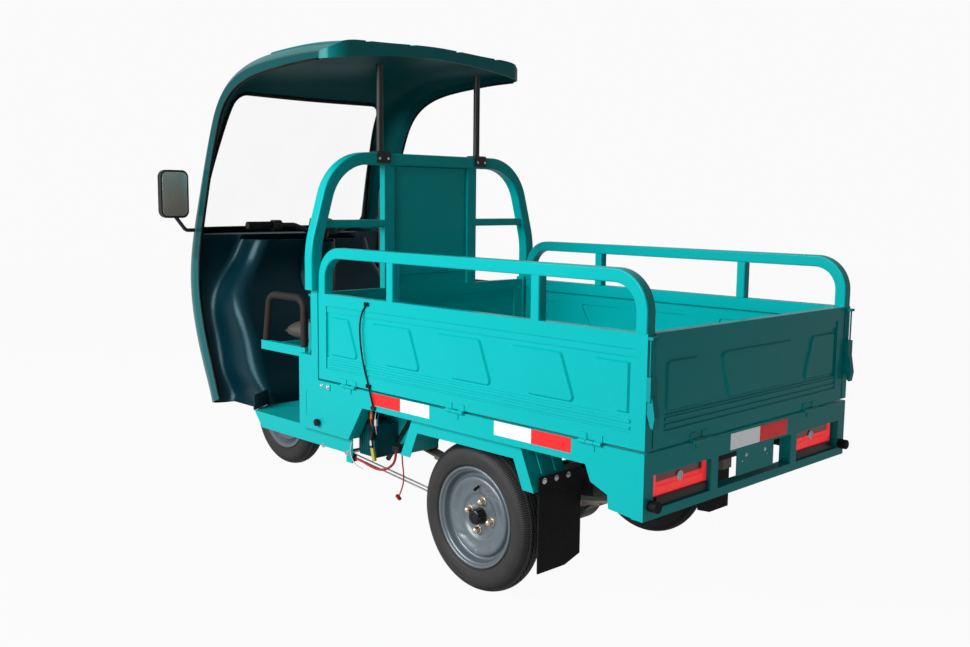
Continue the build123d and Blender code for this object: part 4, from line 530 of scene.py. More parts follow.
def turned_rings(profile, columns=32):
    """A profile of (radius, height) turned about Z: r cos a, r sin a, h."""
    angle = np.linspace(0, 2 * np.pi, columns, endpoint=False)
    radius, height = np.array(profile, float).T
    points = [radius[:, None] * np.cos(angle), radius[:, None] * np.sin(angle)]
    points.append(np.broadcast_to(height[:, None], points[0].shape))
    return np.stack(points, -1)


def slab_rings(outline, thick, ease=0.0006, crown=0.0):
    """A flat plate from its outline: rings up its eased edge, closing at a middle point on
    each face; the upper face may rise by a crown."""
    outline = np.array(outline, float)
    middle = (outline.min(0) + outline.max(0)) / 2
    away = outline - middle
    drawn = middle + away * (1 - ease / np.abs(away).max(0))
    rings = ((middle + away * 0, 0.0), (drawn, 0.0), (outline, ease), (outline, thick - ease), (drawn, thick))
    rings += tuple((middle + away * share, thick + crown * (1 - share**2)) for share in (0.75, 0.5, 0.25, 0.0))
    return np.stack([np.concatenate([ring, np.full((len(ring), 1), level)], 1) for ring, level in rings])


def rounded_outline(width, height, corner, steps=5):
    """Outline of a rectangle with rounded corners, about its middle."""
    turn = np.linspace(0, np.pi / 2, steps)
    angle = np.concatenate([turn + quarter * np.pi / 2 for quarter in range(4)])
    side = np.repeat([[1, 1], [-1, 1], [-1, -1], [1, -1]], steps, 0)
    reach = np.array([width / 2 - corner, height / 2 - corner])
    return side * reach + corner * np.stack([np.cos(angle), np.sin(angle)], 1)


def set_on(points, place, normal, along=(0.0, 0.0, 1.0), size=1.0):
    """Moves points made about Z to a place, their Z along the normal and their Y near `along`."""
    across, up, out = upright(normal, along)
    return np.array(place) + size * (points[..., :1] * across + points[..., 1:2] * up + points[..., 2:] * out)


def many(name, rings, spots, body, finish, size=1.0, along=(0.0, 0.0, 1.0), sharp=35.0):
    """One piece of many copies of a ringed form, each set on a (place, normal)."""
    rows, columns = rings.shape[:2]
    quads = grid_quads(rows, columns, round_columns=True)
    points = [set_on(rings, place, normal, along, size).reshape(-1, 3) for place, normal in spots]
    faces = [quads + index * rows * columns for index in range(len(points))]
    return build(name, np.concatenate(points), np.concatenate(faces), body, finish, sharp)


def turned(name, profile, place, axis, body, finish, columns=32, sharp=35.0):
    """A profile of (radius, height) turned about an axis through a place."""
    return surface(name, set_on(turned_rings(profile, columns), place, axis), body, finish, sharp=sharp)


def slab(name, outline, place, normal, thick, body, finish, ease=0.0006, crown=0.0, along=(0.0, 0.0, 1.0)):
    """A flat plate on a place, from its outline."""
    return surface(name, set_on(slab_rings(outline, thick, ease, crown), place, normal, along), body, finish)


def block(name, low, high, finish, corner=0.002):
    """A box with rounded upright edges and eased ends, between two corners."""
    low, high = np.array(low, float), np.array(high, float)
    width, depth, height = high - low
    outline = rounded_outline(width, depth, corner)
    middle = ((low[0] + high[0]) / 2, (low[1] + high[1]) / 2, low[2])
    points = slab_rings(outline, height, min(corner, height / 4)) + middle
    return surface(name, points, "root", finish)


def swept(path, outline):
    """Rings of an outline carried along a path, square to it and without twist; pointed ends."""
    path, outline = np.asarray(path, float), np.asarray(outline, float)
    ahead = np.gradient(path, axis=0)
    ahead /= np.linalg.norm(ahead, axis=1)[:, None]
    mean = np.linalg.svd(path - path.mean(0) + [[1e-6, 2e-6, 3e-6]])[2][2]
    across = np.cross(ahead, mean)
    across /= np.linalg.norm(across, axis=1)[:, None]
    third = np.cross(ahead, across)
    rings = path[:, None] + outline[None, :, :1] * across[:, None] + outline[None, :, 1:] * third[:, None]
    ends = np.repeat(path[[0, -1]][:, None], len(outline), 1)
    return np.concatenate([ends[:1], rings, ends[1:]])


def circle(radius, sides=10):
    angle = np.linspace(0, 2 * np.pi, sides, endpoint=False)
    return radius * np.stack([np.cos(angle), np.sin(angle)], 1)


def smooth_path(points, steps=8):
    """A path through the points: Catmull-Rom cubic in each span."""
    points = np.asarray(points, float)
    ends = np.concatenate([2 * points[:1] - points[1:2], points, 2 * points[-1:] - points[-2:-1]])
    share = np.linspace(0, 1, steps, endpoint=False)[:, None, None]
    p0, p1, p2, p3 = (ends[start : start + len(points) - 1][None] for start in range(4))
    span = 2 * p1 + (p2 - p0) * share + (2 * p0 - 5 * p1 + 4 * p2 - p3) * share**2
    span = 0.5 * (span + (3 * p1 - p0 - 3 * p2 + p3) * share**3)
    return np.concatenate([span.transpose(1, 0, 2).reshape(-1, 3), points[-1:]])


def tube(name, path, radius, body, finish, sides=10):
    return surface(name, swept(path, circle(radius, sides)), body, finish)


def hex_bolt():
    """Washer and six-sided head with a turned-down top, one unit across its flats' corners."""
    profile = [(0.0, 0.0), (0.85, 0.0), (0.85, 0.12), (0.52, 0.13), (0.52, 0.5), (0.42, 0.6), (0.0, 0.62)]
    rings = turned_rings(profile, 24)
    angle = np.linspace(0, 2 * np.pi, 24, endpoint=False) % (np.pi / 3) - np.pi / 6
    rings[3:6, :, :2] *= (np.cos(np.pi / 6) / np.cos(angle))[None, :, None]
    return rings


def domed_bolt():
    """Washer and round domed head, one unit across."""
    profile = [
        (0.0, 0.0), (0.72, 0.0), (0.72, 0.1), (0.5, 0.12), (0.48, 0.25), (0.38, 0.38), (0.2, 0.46), (0.0, 0.48),
    ]
    return turned_rings(profile, 20)


# ---- camera --------------------------------------------------------------------------------
def camera():
    """A camera behind the left rear corner, level with the top of the sides."""
    lens = bpy.data.cameras.new("camera")
    lens.sensor_width = 36.0
    lens.lens = 37.95
    lens.clip_end = 60.0
    lens.clip_start = 0.05
    view = placed("camera", lens)
    yaw, pitch, roll = np.radians([-44.35, -6.954, 0.617])
    ahead = np.array([np.cos(pitch) * np.cos(yaw), np.cos(pitch) * np.sin(yaw), np.sin(pitch)])
    right = np.cross(ahead, [0.0, 0.0, 1.0])
    right /= np.linalg.norm(right)
    up = np.cross(right, ahead)
    level = np.cos(roll) * right + np.sin(roll) * up
    top = -np.sin(roll) * right + np.cos(roll) * up
    place = np.eye(4)
    place[:3, 0], place[:3, 1], place[:3, 2] = level, top, -ahead
    place[:3, 3] = (-2.9145, 2.6743, 1.2561)
    view.matrix_world = Matrix(place.tolist())
    bpy.context.scene.camera = view


camera()


# ---- cords ---------------------------------------------------------------------------------
def cord(name, body, route, radius, finish, node, **facts):
    """A cord whose line is the smooth spline of its route's points."""
    curve = bpy.data.curves.new(name, "CURVE")
    curve.dimensions = "3D"
    curve.bevel_depth = radius
    curve.bevel_resolution = 5
    curve.resolution_u = 16
    curve.use_fill_caps = True
    line = curve.splines.new("NURBS")
    line.points.add(len(route) - 1)
    line.points.foreach_set("co", np.array([(*point, 1.0) for point in route]).ravel())
    line.order_u = 3
    line.use_endpoint_u = True
    curve.materials.append(finish)
    made = placed(name, curve)
    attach(made, body)
    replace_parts(made, node)


loom_route = [
    (-0.212, 0.559, 0.54),
    (-0.212, 0.559, 0.506),
    (-0.186, 0.5375, 0.478),
    (-0.167, 0.527, 0.448),
    (-0.154, 0.521, 0.415),
    (-0.158, 0.52, 0.392),
]
hose_route = [
    (-0.05, 0.516, 0.334),
    (-0.086, 0.516, 0.334),
    (-0.124, 0.502, 0.316),
    (-0.16, 0.484, 0.305),
    (-0.19, 0.465, 0.319),
    (-0.206, 0.455, 0.347),
    (-0.206, 0.455, 0.378),
]
strap_line = ((-0.222, 0.378), (-0.222, 0.346), (-0.23, 0.308), (-0.231, 0.27), (-0.218, 0.237), (-0.204, 0.212))
strap_route = [(x, 0.44, z) for x, z in strap_line]
cord(
    "loom_cord", "root", loom_route, 0.003, finishes["black_rubber"], "loom_cable",
    length=0.1713, far_end="connector", stiffness="medium", lay="hanging", with_pieces=[nodes["loom_plug"]],
)
cord(
    "hose_cord", "root", hose_route, 0.0045, finishes["red_sleeve"], "red_hose",
    length=0.2211, far_end="object", stiffness="medium", lay="hanging",
)
cord(
    "strap_cord", "root", strap_route, 0.0025, finishes["red_sleeve"], "red_strap",
    length=0.1723, far_end="fitting", stiffness="limp", lay="hanging", with_pieces=[nodes["strap_foot"]],
)

# the cable's short length across the hinge line, from the side's lower clip to the bed's
bridge_path = smooth_path(
    [(-0.1875, 0.5588, 0.62), (-0.1965, 0.561, 0.598), (-0.2065, 0.5612, 0.572), (-0.2118, 0.5592, 0.548)]
)
bridge = tube("cable_bridge", bridge_path, 0.003, None, finishes["black_rubber"], 12)
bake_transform(bridge)


# ---- wheels --------------------------------------------------------------------------------
def arc_through(first, middle, last, steps):
    """Points of the circle through three points: the centre is equally far from all three."""
    first, middle, last = (np.array(point, float) for point in (first, middle, last))
    sums = np.array([middle @ middle - first @ first, last @ last - middle @ middle])
    centre = np.linalg.solve(2 * np.array([middle - first, last - middle]), sums)
    turns = np.unwrap([np.arctan2(*(point - centre)[::-1]) for point in (first, middle, last)])
    angle = np.linspace(turns[0], turns[2], steps)
    return centre + np.linalg.norm(first - centre) * np.stack([np.cos(angle), np.sin(angle)], 1)


def treaded_tyre(node, body):
    """A tyre: its section turned about the axle. The tread is sunk by a depth that depends on
    the turn and on the place across it: fine shoulder lugs, two zigzag grooves and a middle one;
    fine rings stand out of the side walls."""
    low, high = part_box(node)
    centre = (low + high) / 2
    outer, half = (high.z - low.z) / 2, (high.y - low.y) / 2
    edge = outer - 0.08
    lugs, steps = 204, 4
    wall = arc_through((0.0335, edge), (half, edge + 0.036), (half - 0.0105, outer - 0.0175), 16)
    tread = arc_through((half - 0.0105, outer - 0.0175), (0.0, outer), (0.0105 - half, outer - 0.0175), 45)
    bead = np.array([(0.0, edge - 0.01), (0.031, edge - 0.01)])
    section = np.concatenate([bead, wall, tread[1:-1], wall[::-1] * [-1, 1], bead[1:] * [-1, 1]])
    across, reach = section.T[:, :, None]
    ahead = np.roll(section, -1, 0) - np.roll(section, 1, 0)
    outward = np.stack([ahead[:, 1], -ahead[:, 0]], 1) / np.linalg.norm(ahead, axis=1)[:, None]
    outward *= np.sign((outward * (section - [0.0, edge + 0.02])).sum(1))[:, None]
    turn = np.arange(lugs * steps) * 2 * np.pi / (lugs * steps)
    slot = (np.arange(lugs * steps) % steps)[None] < 2
    zigzag = 0.002 * np.sin(turn * lugs / 3)[None]
    crown = np.arange(len(section))
    on_tread = ((crown >= 17) & (crown < 17 + 45))[:, None]
    place = np.abs(across)
    depth = 0.006 * (np.abs(place - 0.0125 - zigzag) < 0.0019) * on_tread
    depth = np.maximum(depth, 0.005 * (np.abs(across - zigzag) < 0.0012) * on_tread)
    depth = np.maximum(depth, 0.003 * slot * (place > 0.0225) * on_tread)
    depth = np.maximum(depth, 0.0013 * slot * ((reach > outer - 0.03) & (reach < outer - 0.016)))
    rings = sum(
        size * (np.abs(reach - edge - level) < wide)
        for level, wide, size in ((0.009, 0.003, 0.0016), (0.044, 0.002, 0.0009))
    )
    sunk = depth - rings * (1 - on_tread)
    y = across - outward[:, :1] * sunk
    r = np.minimum(reach - outward[:, 1:] * sunk, outer - 0.0001)
    points = np.stack(
        [centre.x + r * np.cos(turn), centre.y + np.clip(y, -half, half) + 0 * r, centre.z + r * np.sin(turn)], -1,
    )
    tyre = surface(f"{node}_tread", points, body, finishes["tyre_rubber"], round_rows=True, sharp=38.0)
    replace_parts(tyre, node)


def pressed_rim(node, body, out):
    """A wheel: a closed section turned about the axle, with a rolled lip, a deep well, a raised
    ring and a dished middle; eight slanting dimples are pressed round the ring."""
    low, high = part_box(node)
    centre = (low + high) / 2
    back = [
        (0.0, -0.001), (0.06, -0.001), (0.105, 0.006), (0.128, 0.002), (0.136, -0.006), (0.142, -0.02),
        (0.149, -0.03),
    ]
    seat = [
        (0.152, -0.037), (0.158, -0.04), (0.1645, -0.0385), (0.165, -0.034), (0.158, -0.03), (0.153, -0.01),
        (0.153, 0.01),
    ]
    lip = [
        (0.158, 0.03), (0.165, 0.034), (0.1648, 0.0375), (0.162, 0.0398), (0.1585, 0.04), (0.156, 0.038),
        (0.154, 0.035),
    ]
    lip += [(0.1525, 0.032), (0.15, 0.0312), (0.148, 0.029)]
    well = [(0.1465, 0.024), (0.144, 0.014), (0.14, 0.0085), (0.1355, 0.007), (0.1325, 0.008), (0.1305, 0.0125)]
    ring = [
        (0.129, 0.0175), (0.1255, 0.021), (0.1205, 0.0222), (0.115, 0.0215), (0.109, 0.0195), (0.103, 0.017),
        (0.097, 0.015),
    ]
    ring += [
        (0.091, 0.0138), (0.085, 0.0132), (0.079, 0.0125), (0.0745, 0.0105), (0.071, 0.0075), (0.0675, 0.0055),
        (0.063, 0.0046),
    ]
    middle = [(0.05, 0.0045), (0.033, 0.0045), (0.015, 0.0045), (0.0, 0.0045)]
    radius, place = np.array(back + seat + lip + well + ring + middle).T[:, :, None]
    turn = np.linspace(0, 2 * np.pi, 256, endpoint=False)[None]
    swirl = np.cos(8 * (turn - out * (radius - 0.108) * 14.0)) ** 9
    front = np.arange(len(radius))[:, None] > len(radius) - 20
    dimple = -0.0042 * np.clip(swirl, 0, 1) * np.exp(-(((radius - 0.107) / 0.0095) ** 2)) * front
    y = centre.y + out * (place + dimple)
    points = np.stack([centre.x + radius * np.cos(turn), y + 0 * turn, centre.z + radius * np.sin(turn)], -1)
    rim = surface(f"{node}_pressed", points, body, finishes["rim_paint"], sharp=50.0)
    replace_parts(rim, node)


def wheel_fittings(name, body, node, out):
    """Acorn nuts on washers, a black hub cap with its dimple, and a rubber valve, on the disc."""
    low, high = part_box(node)
    centre = np.array((low + high) / 2)
    nut = [
        (0.0, 0.0), (0.014, 0.0), (0.014, 0.002), (0.0116, 0.0028), (0.0114, 0.015), (0.0098, 0.0182),
        (0.0065, 0.0215),
    ]
    nut += [(0.003, 0.0232), (0.0, 0.0236)]
    angle = np.radians([12.0, 102.0, 192.0, 282.0])
    spots = [(centre + [0.05 * np.cos(a), out * 0.0045, 0.05 * np.sin(a)], (0, out, 0)) for a in angle]
    many(f"{name}_nuts", turned_rings(nut, 18), spots, body, brass)
    cap = [
        (0.0, 0.0), (0.0268, 0.0), (0.0268, 0.003), (0.0252, 0.005), (0.025, 0.029), (0.0232, 0.0345), (0.019, 0.037),
    ]
    cap += [(0.012, 0.0374), (0.01, 0.035), (0.0, 0.0345)]
    turned(f"{name}_cap", cap, centre + [0, out * 0.002, 0], (0, out, 0), body, cap_black, 40)
    stem = [
        (0.0, 0.0), (0.0078, 0.0), (0.0078, 0.006), (0.0045, 0.01), (0.0042, 0.022), (0.0052, 0.023), (0.0052, 0.034),
        (0.0, 0.035),
    ]
    turned(f"{name}_valve", stem, centre + [0, out * 0.004, 0.103], (0, out, -0.45), body, trim_rubber, 18)
    balance = slab_rings(rounded_outline(0.02, 0.01, 0.002), 0.003)
    many(
        f"{name}_slots", balance, [(centre + [-0.1, out * 0.006, -0.052], (0, out, 0))], body, cap_black,
        along=(-0.5, 0, 1),
    )


for wheel in ("front", "rear_left", "rear_right"):
    treaded_tyre(f"{wheel}_tyre", f"{wheel}_wheel")
for side, name in SIDES:
    pressed_rim(f"rear_{name}_rim", f"rear_{name}_wheel", side)
for side, name in SIDES:
    wheel_fittings(f"rear_{name}", f"rear_{name}_wheel", f"rear_{name}_rim", side)


# ---- reflective tape -----------------------------------------------------------------------
side_face, tail_face = 0.555, -1.346
tape_z, tape_height = 0.5765, 0.043


def tape(name, middle, size, normal, finish):
    """A strip of tape with a rounded edge, on a flat face."""
    slab(name, rounded_outline(*size, 0.0015, 3), middle, normal, 0.0008, "root", finish, 0.0003)


for side, name in SIDES:
    for label, rear, front, finish in (
        ("front_red", -0.351, -0.196, red_tape),
        ("front_white", -0.496, -0.351, white_tape),
        ("rear_white", -0.942, -0.79, white_tape),
        ("rear_red", -1.094, -0.942, red_tape),
    ):
        tape(
            f"tape_{name}_{label}", ((rear + front) / 2, side * side_face, tape_z), (front - rear, tape_height),
            (0, side, 0), finish,
        )
tape("tape_tail_white", (tail_face, 0.0645, 0.566), (0.159, 0.048), REARWARD, white_tape)
tape("tape_tail_red", (tail_face, -0.095, 0.566), (0.16, 0.048), REARWARD, red_tape)


# ---- tail lamps ----------------------------------------------------------------------------
lamp_low, lamp_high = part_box("tail_lamps")
lamp_half_y, lamp_half_z, lamp_recess = 0.126, (lamp_high.z - lamp_low.z) / 2, 0.02
lamp_y, lamp_z = lamp_high.y - 0.131, (lamp_low.z + lamp_high.z) / 2
lens = lamp_lens(lamp_y, lamp_half_y, lamp_z, lamp_half_z)


def tail_lamp(name, side):
    """A lamp: a height field over its face, with a raised frame, ribs along its lower strip and
    a step at its window, closed by its sides and back."""
    across, up = np.meshgrid(np.linspace(-1, 1, 141), np.linspace(-1, 1, 45))
    frame_rise = np.clip(np.maximum((np.abs(across) - 0.88) * 9, (np.abs(up) - 0.78) * 5), 0, 1)
    height = 0.004 * np.sqrt(frame_rise)
    strip = (up < -0.22) & (up > -0.84) & (np.abs(across) < 0.92)
    height = np.maximum(height, np.where(strip, 0.0014 + 0.002 * np.abs(np.sin(across * 40)), 0))
    height = height - np.where((up > 0.16) & (frame_rise <= 0), 0.0018, 0)
    rounding = np.clip(np.maximum(np.abs(across) - 0.97, np.abs(up) - 0.93) * 18, 0, 1) ** 2
    height = height - 0.0035 * rounding
    face = np.stack(
        [lamp_low.x + lamp_recess + 0.0042 - height, side * lamp_y + across * lamp_half_y, lamp_z + up * lamp_half_z],
        -1,
    )
    rim = np.concatenate([face[0, :-1], face[:-1, -1], face[-1, :0:-1], face[:0:-1, 0]])
    back = rim * [0, 1, 1] + [lamp_high.x - 0.001, 0, 0]
    middle = np.broadcast_to([lamp_high.x - 0.001, side * lamp_y, lamp_z], rim.shape)
    count, around = face.shape[0] * face.shape[1], len(rim)
    faces = np.concatenate([grid_quads(*face.shape[:2]), count + grid_quads(3, around, round_columns=True)])
    points = np.concatenate([face.reshape(-1, 3), rim, back, middle])
    return build(f"tail_lamp_{name}", points, faces, "root", lens, sharp=40.0)


for side, name in SIDES:
    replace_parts(tail_lamp(name, side), "tail_lamps")
button = [(0.0, 0.0), (0.015, 0.0), (0.0145, 0.003), (0.011, 0.0042), (0.009, 0.0036), (0.006, 0.0046), (0.0, 0.005)]
spots = [((lamp_low.x + lamp_recess + 0.005, side * lamp_y, lamp_z + 0.004), REARWARD) for side in (1, -1)]
many("lamp_buttons", turned_rings(button, 36), spots, "root", finishes["lamp_clear"])


for side, name in SIDES:
    inner, outer = sorted((side * (lamp_y - lamp_half_y + 0.004), side * (lamp_y + lamp_half_y - 0.004)))
    block(
        f"lamp_back_{name}", (lamp_low.x + 0.034, inner - 0.008, lamp_low.z),
        (lamp_high.x - 0.002, outer + 0.008, lamp_high.z), finishes["black_plastic"],
    )
    # painted shade: a black block fills the gap below each lamp, which lies in shade
    block(
        f"shade_fill_under_lamp_{name}", (lamp_low.x + 0.012, inner, 0.4405), (lamp_high.x - 0.002, outer, lamp_low.z + 0.001),
        finishes["black_plastic"],
    )


# ---- bolts and hasps -----------------------------------------------------------------------
def bolts(name, spots, size, body="root", finish=bright, form=hex_bolt):
    return many(name, form(), spots, body, finish, size)


for side, name in SIDES:
    out = (0, side, 0)
    hasp = slab_rings(rounded_outline(0.066, 0.026, 0.004), 0.0025, 0.0006)
    many(f"hasp_{name}", hasp, [((0.071, side * side_face, 0.581), out)], "root", finishes["teal_paint"])
    bolts(
        f"hasp_bolts_{name}", [((x, side * (side_face + 0.0022), 0.581), out) for x in (0.053, 0.09)], 0.0125,
        form=domed_bolt,
    )
    flap_low, flap_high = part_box("mud_flaps")
    flap_y = [side * (flap_high.y - inset) for inset in (0.022, 0.075, 0.128)]
    bolts(f"flap_bolts_{name}", [((flap_low.x, y, flap_high.z - 0.014), REARWARD) for y in flap_y], 0.011)
    bolts(f"sill_bolt_{name}", [((-0.03, side * 0.53, 0.352), out), ((0.12, side * 0.53, 0.352), out)], 0.01)
knob = [
    (0.0, 0.0), (0.01, 0.0), (0.01, 0.004), (0.013, 0.006), (0.014, 0.012), (0.012, 0.017), (0.006, 0.019),
    (0.0, 0.0195),
]
for side, name in SIDES:
    turned(f"skirt_knob_{name}", knob, (0.111, side * 0.5545, 0.444), (0, side, 0), "root", cap_black, 24)
plate_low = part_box("plate_holder")[0]
bolts("plate_bolts", [((plate_low.x + 0.0005, y, 0.513), REARWARD) for y in (0.052, -0.052)], 0.008, form=domed_bolt)
stub_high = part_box("bumper_stubs")[1]
sleeve = [(0.0, 0.0), (0.015, 0.0), (0.0155, 0.003), (0.016, 0.027), (0.014, 0.0295), (0.0, 0.03)]
spots = [((stub_high.x, side * (stub_high.y - 0.019), 0.455), REARWARD) for side in (1, -1)]
sleeves = many("stub_sleeves", turned_rings(sleeve, 28), spots, "root", finishes["black_rubber"])
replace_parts(sleeves, "bumper_stubs")
clamp_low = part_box("post_clamps")[0]
spots = [((clamp_low.x + 0.004, side * y, 1.401), REARWARD) for side in (1, -1) for y in (0.232, 0.272)]
bolts("clamp_bolts", spots, 0.011)


# ---- mirrors -------------------------------------------------------------------------------
mirror_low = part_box("mirrors")[0]
for side, name in SIDES:
    slab(
        f"mirror_face_{name}", rounded_outline(0.112, 0.182, 0.022, 8), (mirror_low.x + 0.0004, side * 0.59, 1.262),
        REARWARD, 0.0012, "root", mirror_glass, 0.0005,
    )


# ---- head lamps ----------------------------------------------------------------------------
def lamp_disc(side):
    """Middle, outward normal and reach of one head lamp's disc: the normal is the direction in
    which its points spread least."""
    points = points_of(nodes["head_lamps"].data)
    points = points[points[:, 1] * side > 0]
    middle = (points.min(0) + points.max(0)) / 2
    spread = points - middle
    normal = np.linalg.svd(spread, full_matrices=False)[2][2]
    normal = normal * np.sign(normal[0])
    return middle, normal, (spread @ normal).max(), np.linalg.norm(
        spread - np.outer(spread @ normal, normal), axis=1,
    ).max()


bezel = [(0.86, 0.0), (0.9, 0.022), (0.96, 0.034), (1.0, 0.022), (1.0, -0.06), (0.86, -0.06), (0.86, 0.0)]
for side, name in SIDES:
    middle, normal, face, reach = lamp_disc(side)
    ring = np.array(bezel) * reach * [0.98, 1.0]
    front = middle + normal * (face - 0.0015)
    surface(f"lamp_bezel_{name}", set_on(turned_rings(ring, 72), front, normal), "root", bright, sharp=40.0)
    dome = [(0.0, 0.005), (0.01, 0.0046), (0.018, 0.0034), (0.022, 0.001), (0.022, -0.004), (0.0, -0.004)]
    turned(f"lamp_bulb_{name}", dome, front, normal, "root", bright, 48)


# ---- edge trims ----------------------------------------------------------------------------
def search_tree(*names):
    """One search tree over the triangles of CAD nodes."""
    points, faces = [], []
    for name in names:
        mesh = nodes[name].data
        order = np.empty(len(mesh.loops), np.int32)
        mesh.loops.foreach_get("vertex_index", order)
        faces.append(order.reshape(-1, 3) + sum(len(part) for part in points))
        points.append(points_of(mesh))
    return BVHTree.FromPolygons(np.concatenate(points).tolist(), np.concatenate(faces).tolist())


def first_hits(tree, starts, ways):
    """Where rays from the starts first meet the tree; misses are left out."""
    hits = [tree.ray_cast(Vector(start), Vector(way), 3.0)[0] for start, way in zip(starts, ways)]
    return np.array([hit for hit in hits if hit is not None])


def oval(width, height, sides=12):
    return circle(1.0, sides) * [width / 2, height / 2]


shell = search_tree("cab_shell")
for side, name in SIDES:
    # round the door opening: rays from its middle, just inside the moulding's outer face
    turn = np.radians(np.linspace(168.0, -74.0, 150))
    ways = np.stack([np.cos(turn), 0 * turn, np.sin(turn)], 1)
    middle = np.array([0.62, side * 0.4975, 1.2])
    lip = first_hits(shell, np.broadcast_to(middle, ways.shape), ways)
    surface(f"door_trim_{name}", swept(lip, oval(0.0085, 0.0125)), "root", trim_rubber)

pane_tree = search_tree("cab_shell", "windscreen")


def screen_outline(grow, steps=14):
    """Outline of the windscreen in (y, z): a trapezium with rounded corners, grown by a margin."""
    low_half, high_half = 0.446 + grow, 0.385 + grow
    low, high, corner = 1.115 - grow, 1.682 + grow, 0.055 + grow
    turn = np.linspace(0, np.pi / 2, steps)
    outline = []
    for quarter, (y, z) in enumerate(((high_half, high), (-high_half, high), (-low_half, low), (low_half, low))):
        middle = np.array([y - np.sign(y) * corner, z - np.sign(z - 1.4) * corner])
        angle = turn + quarter * np.pi / 2
        outline.append(middle + corner * np.stack([np.cos(angle), np.sin(angle)], 1))
    outline = np.concatenate(outline)
    outline = np.concatenate([outline, outline[:1]])
    length = np.concatenate([[0], np.cumsum(np.linalg.norm(np.diff(outline, axis=0), axis=1))])
    places = np.linspace(0, length[-1], 160)
    return np.stack([np.interp(places, length, outline[:, axis]) for axis in (0, 1)], 1)


edge = screen_outline(0.002)
starts = np.concatenate([np.full((len(edge), 1), 0.35), edge], 1)
gasket = first_hits(pane_tree, starts, np.broadcast_to([1.0, 0.0, 0.0], starts.shape))
surface("screen_gasket", swept(gasket, oval(0.016, 0.009)), "root", trim_rubber)


# ---- compartment under the left side -------------------------------------------------------
black = finishes["black_rubber"]
wire_runs = (
    (
        "wire_black_1", 0.0024, black,
        [
            (-0.128, 0.512, 0.535), (-0.134, 0.516, 0.5), (-0.14, 0.519, 0.47), (-0.146, 0.519, 0.44),
            (-0.15, 0.517, 0.41),
        ],
    ),
    (
        "wire_black_2", 0.002, black,
        [
            (-0.15, 0.505, 0.535), (-0.158, 0.51, 0.51), (-0.166, 0.514, 0.48), (-0.162, 0.516, 0.45),
            (-0.156, 0.514, 0.415),
        ],
    ),
    (
        "wire_black_3", 0.003, black,
        [
            (-0.118, 0.47, 0.535), (-0.124, 0.488, 0.5), (-0.14, 0.498, 0.47), (-0.15, 0.498, 0.43),
            (-0.146, 0.48, 0.395), (-0.126, 0.462, 0.38),
        ],
    ),
    (
        "wire_orange", 0.0016, orange_wire,
        [(-0.136, 0.5, 0.535), (-0.142, 0.515, 0.512), (-0.147, 0.519, 0.492), (-0.15, 0.518, 0.47)],
    ),
    (
        "wire_white_1", 0.0016, white_wire,
        [
            (-0.16, 0.5, 0.535), (-0.166, 0.512, 0.512), (-0.17, 0.518, 0.488), (-0.172, 0.516, 0.462),
            (-0.168, 0.51, 0.44),
        ],
    ),
    (
        "wire_blue", 0.0016, blue_paint,
        [(-0.17, 0.495, 0.535), (-0.174, 0.506, 0.508), (-0.172, 0.512, 0.482), (-0.166, 0.514, 0.462)],
    ),
)
for name, radius, finish, points in wire_runs:
    tube(name, smooth_path(points, 6), radius, "root", finish, 8)
loop = smooth_path(
    [
        (-0.058, 0.5325, 0.398), (-0.05, 0.5345, 0.372), (-0.056, 0.5335, 0.342), (-0.076, 0.53, 0.318),
        (-0.104, 0.522, 0.308),
    ],
    8,
)
tube("wire_white_loop", loop, 0.0017, "root", white_wire, 8)
for name, low, high, finish in (
    ("connector_tan", (-0.158, 0.5135, 0.492), (-0.146, 0.5235, 0.52), orange_wire),
    ("connector_grey", (-0.176, 0.509, 0.47), (-0.164, 0.519, 0.494), white_wire),
    ("connector_black", (-0.16, 0.509, 0.42), (-0.142, 0.521, 0.452), cap_black),
    ("connector_pale", (-0.158, 0.5145, 0.398), (-0.146, 0.5245, 0.418), white_wire),
):
    block(name, low, high, finish)
# a black tube along the dark band in front of the fender's leg: it stands in for the shade in the gap there
shade_band = np.array([(-0.1, 0.404, 0.322), (-0.236, 0.404, 0.498)])
tube(
    "shade_band_tube", np.array([shade_band[0] + (shade_band[1] - shade_band[0]) * share for share in np.linspace(0, 1, 12)]), 0.009,
    "root", finishes["black_paint"], 14,
)


# ribbed control box hung behind the wires: its outer side waves in and out along X
low, high = np.array([-0.158, 0.33, 0.352]), np.array([-0.064, 0.5, 0.468])
x = np.linspace(low[0], high[0], 64)
rib = 0.0035 * (np.cos((x - low[0]) / (high[0] - low[0]) * 16 * np.pi) > 0)
outline = np.stack([np.concatenate([x, x[::-1]]), np.concatenate([high[1] + rib, np.full(64, low[1])])], 1)
rings = slab_rings(outline, high[2] - low[2], 0.002) + [0.0, 0.0, low[2]]
# its dark teal enamel is painted shade
surface("control_box", rings, "root", painted_shade_enamel)


# ---- seat ----------------------------------------------------------------------------------
CORNER_SHARE, PAD_REACH, PAD_PRESSURE, PAD_STEPS = 0.16, 0.005, 4.0, 20


def power(value, share):
    """A power that keeps its sign."""
    return np.sign(value) * np.abs(value) ** share


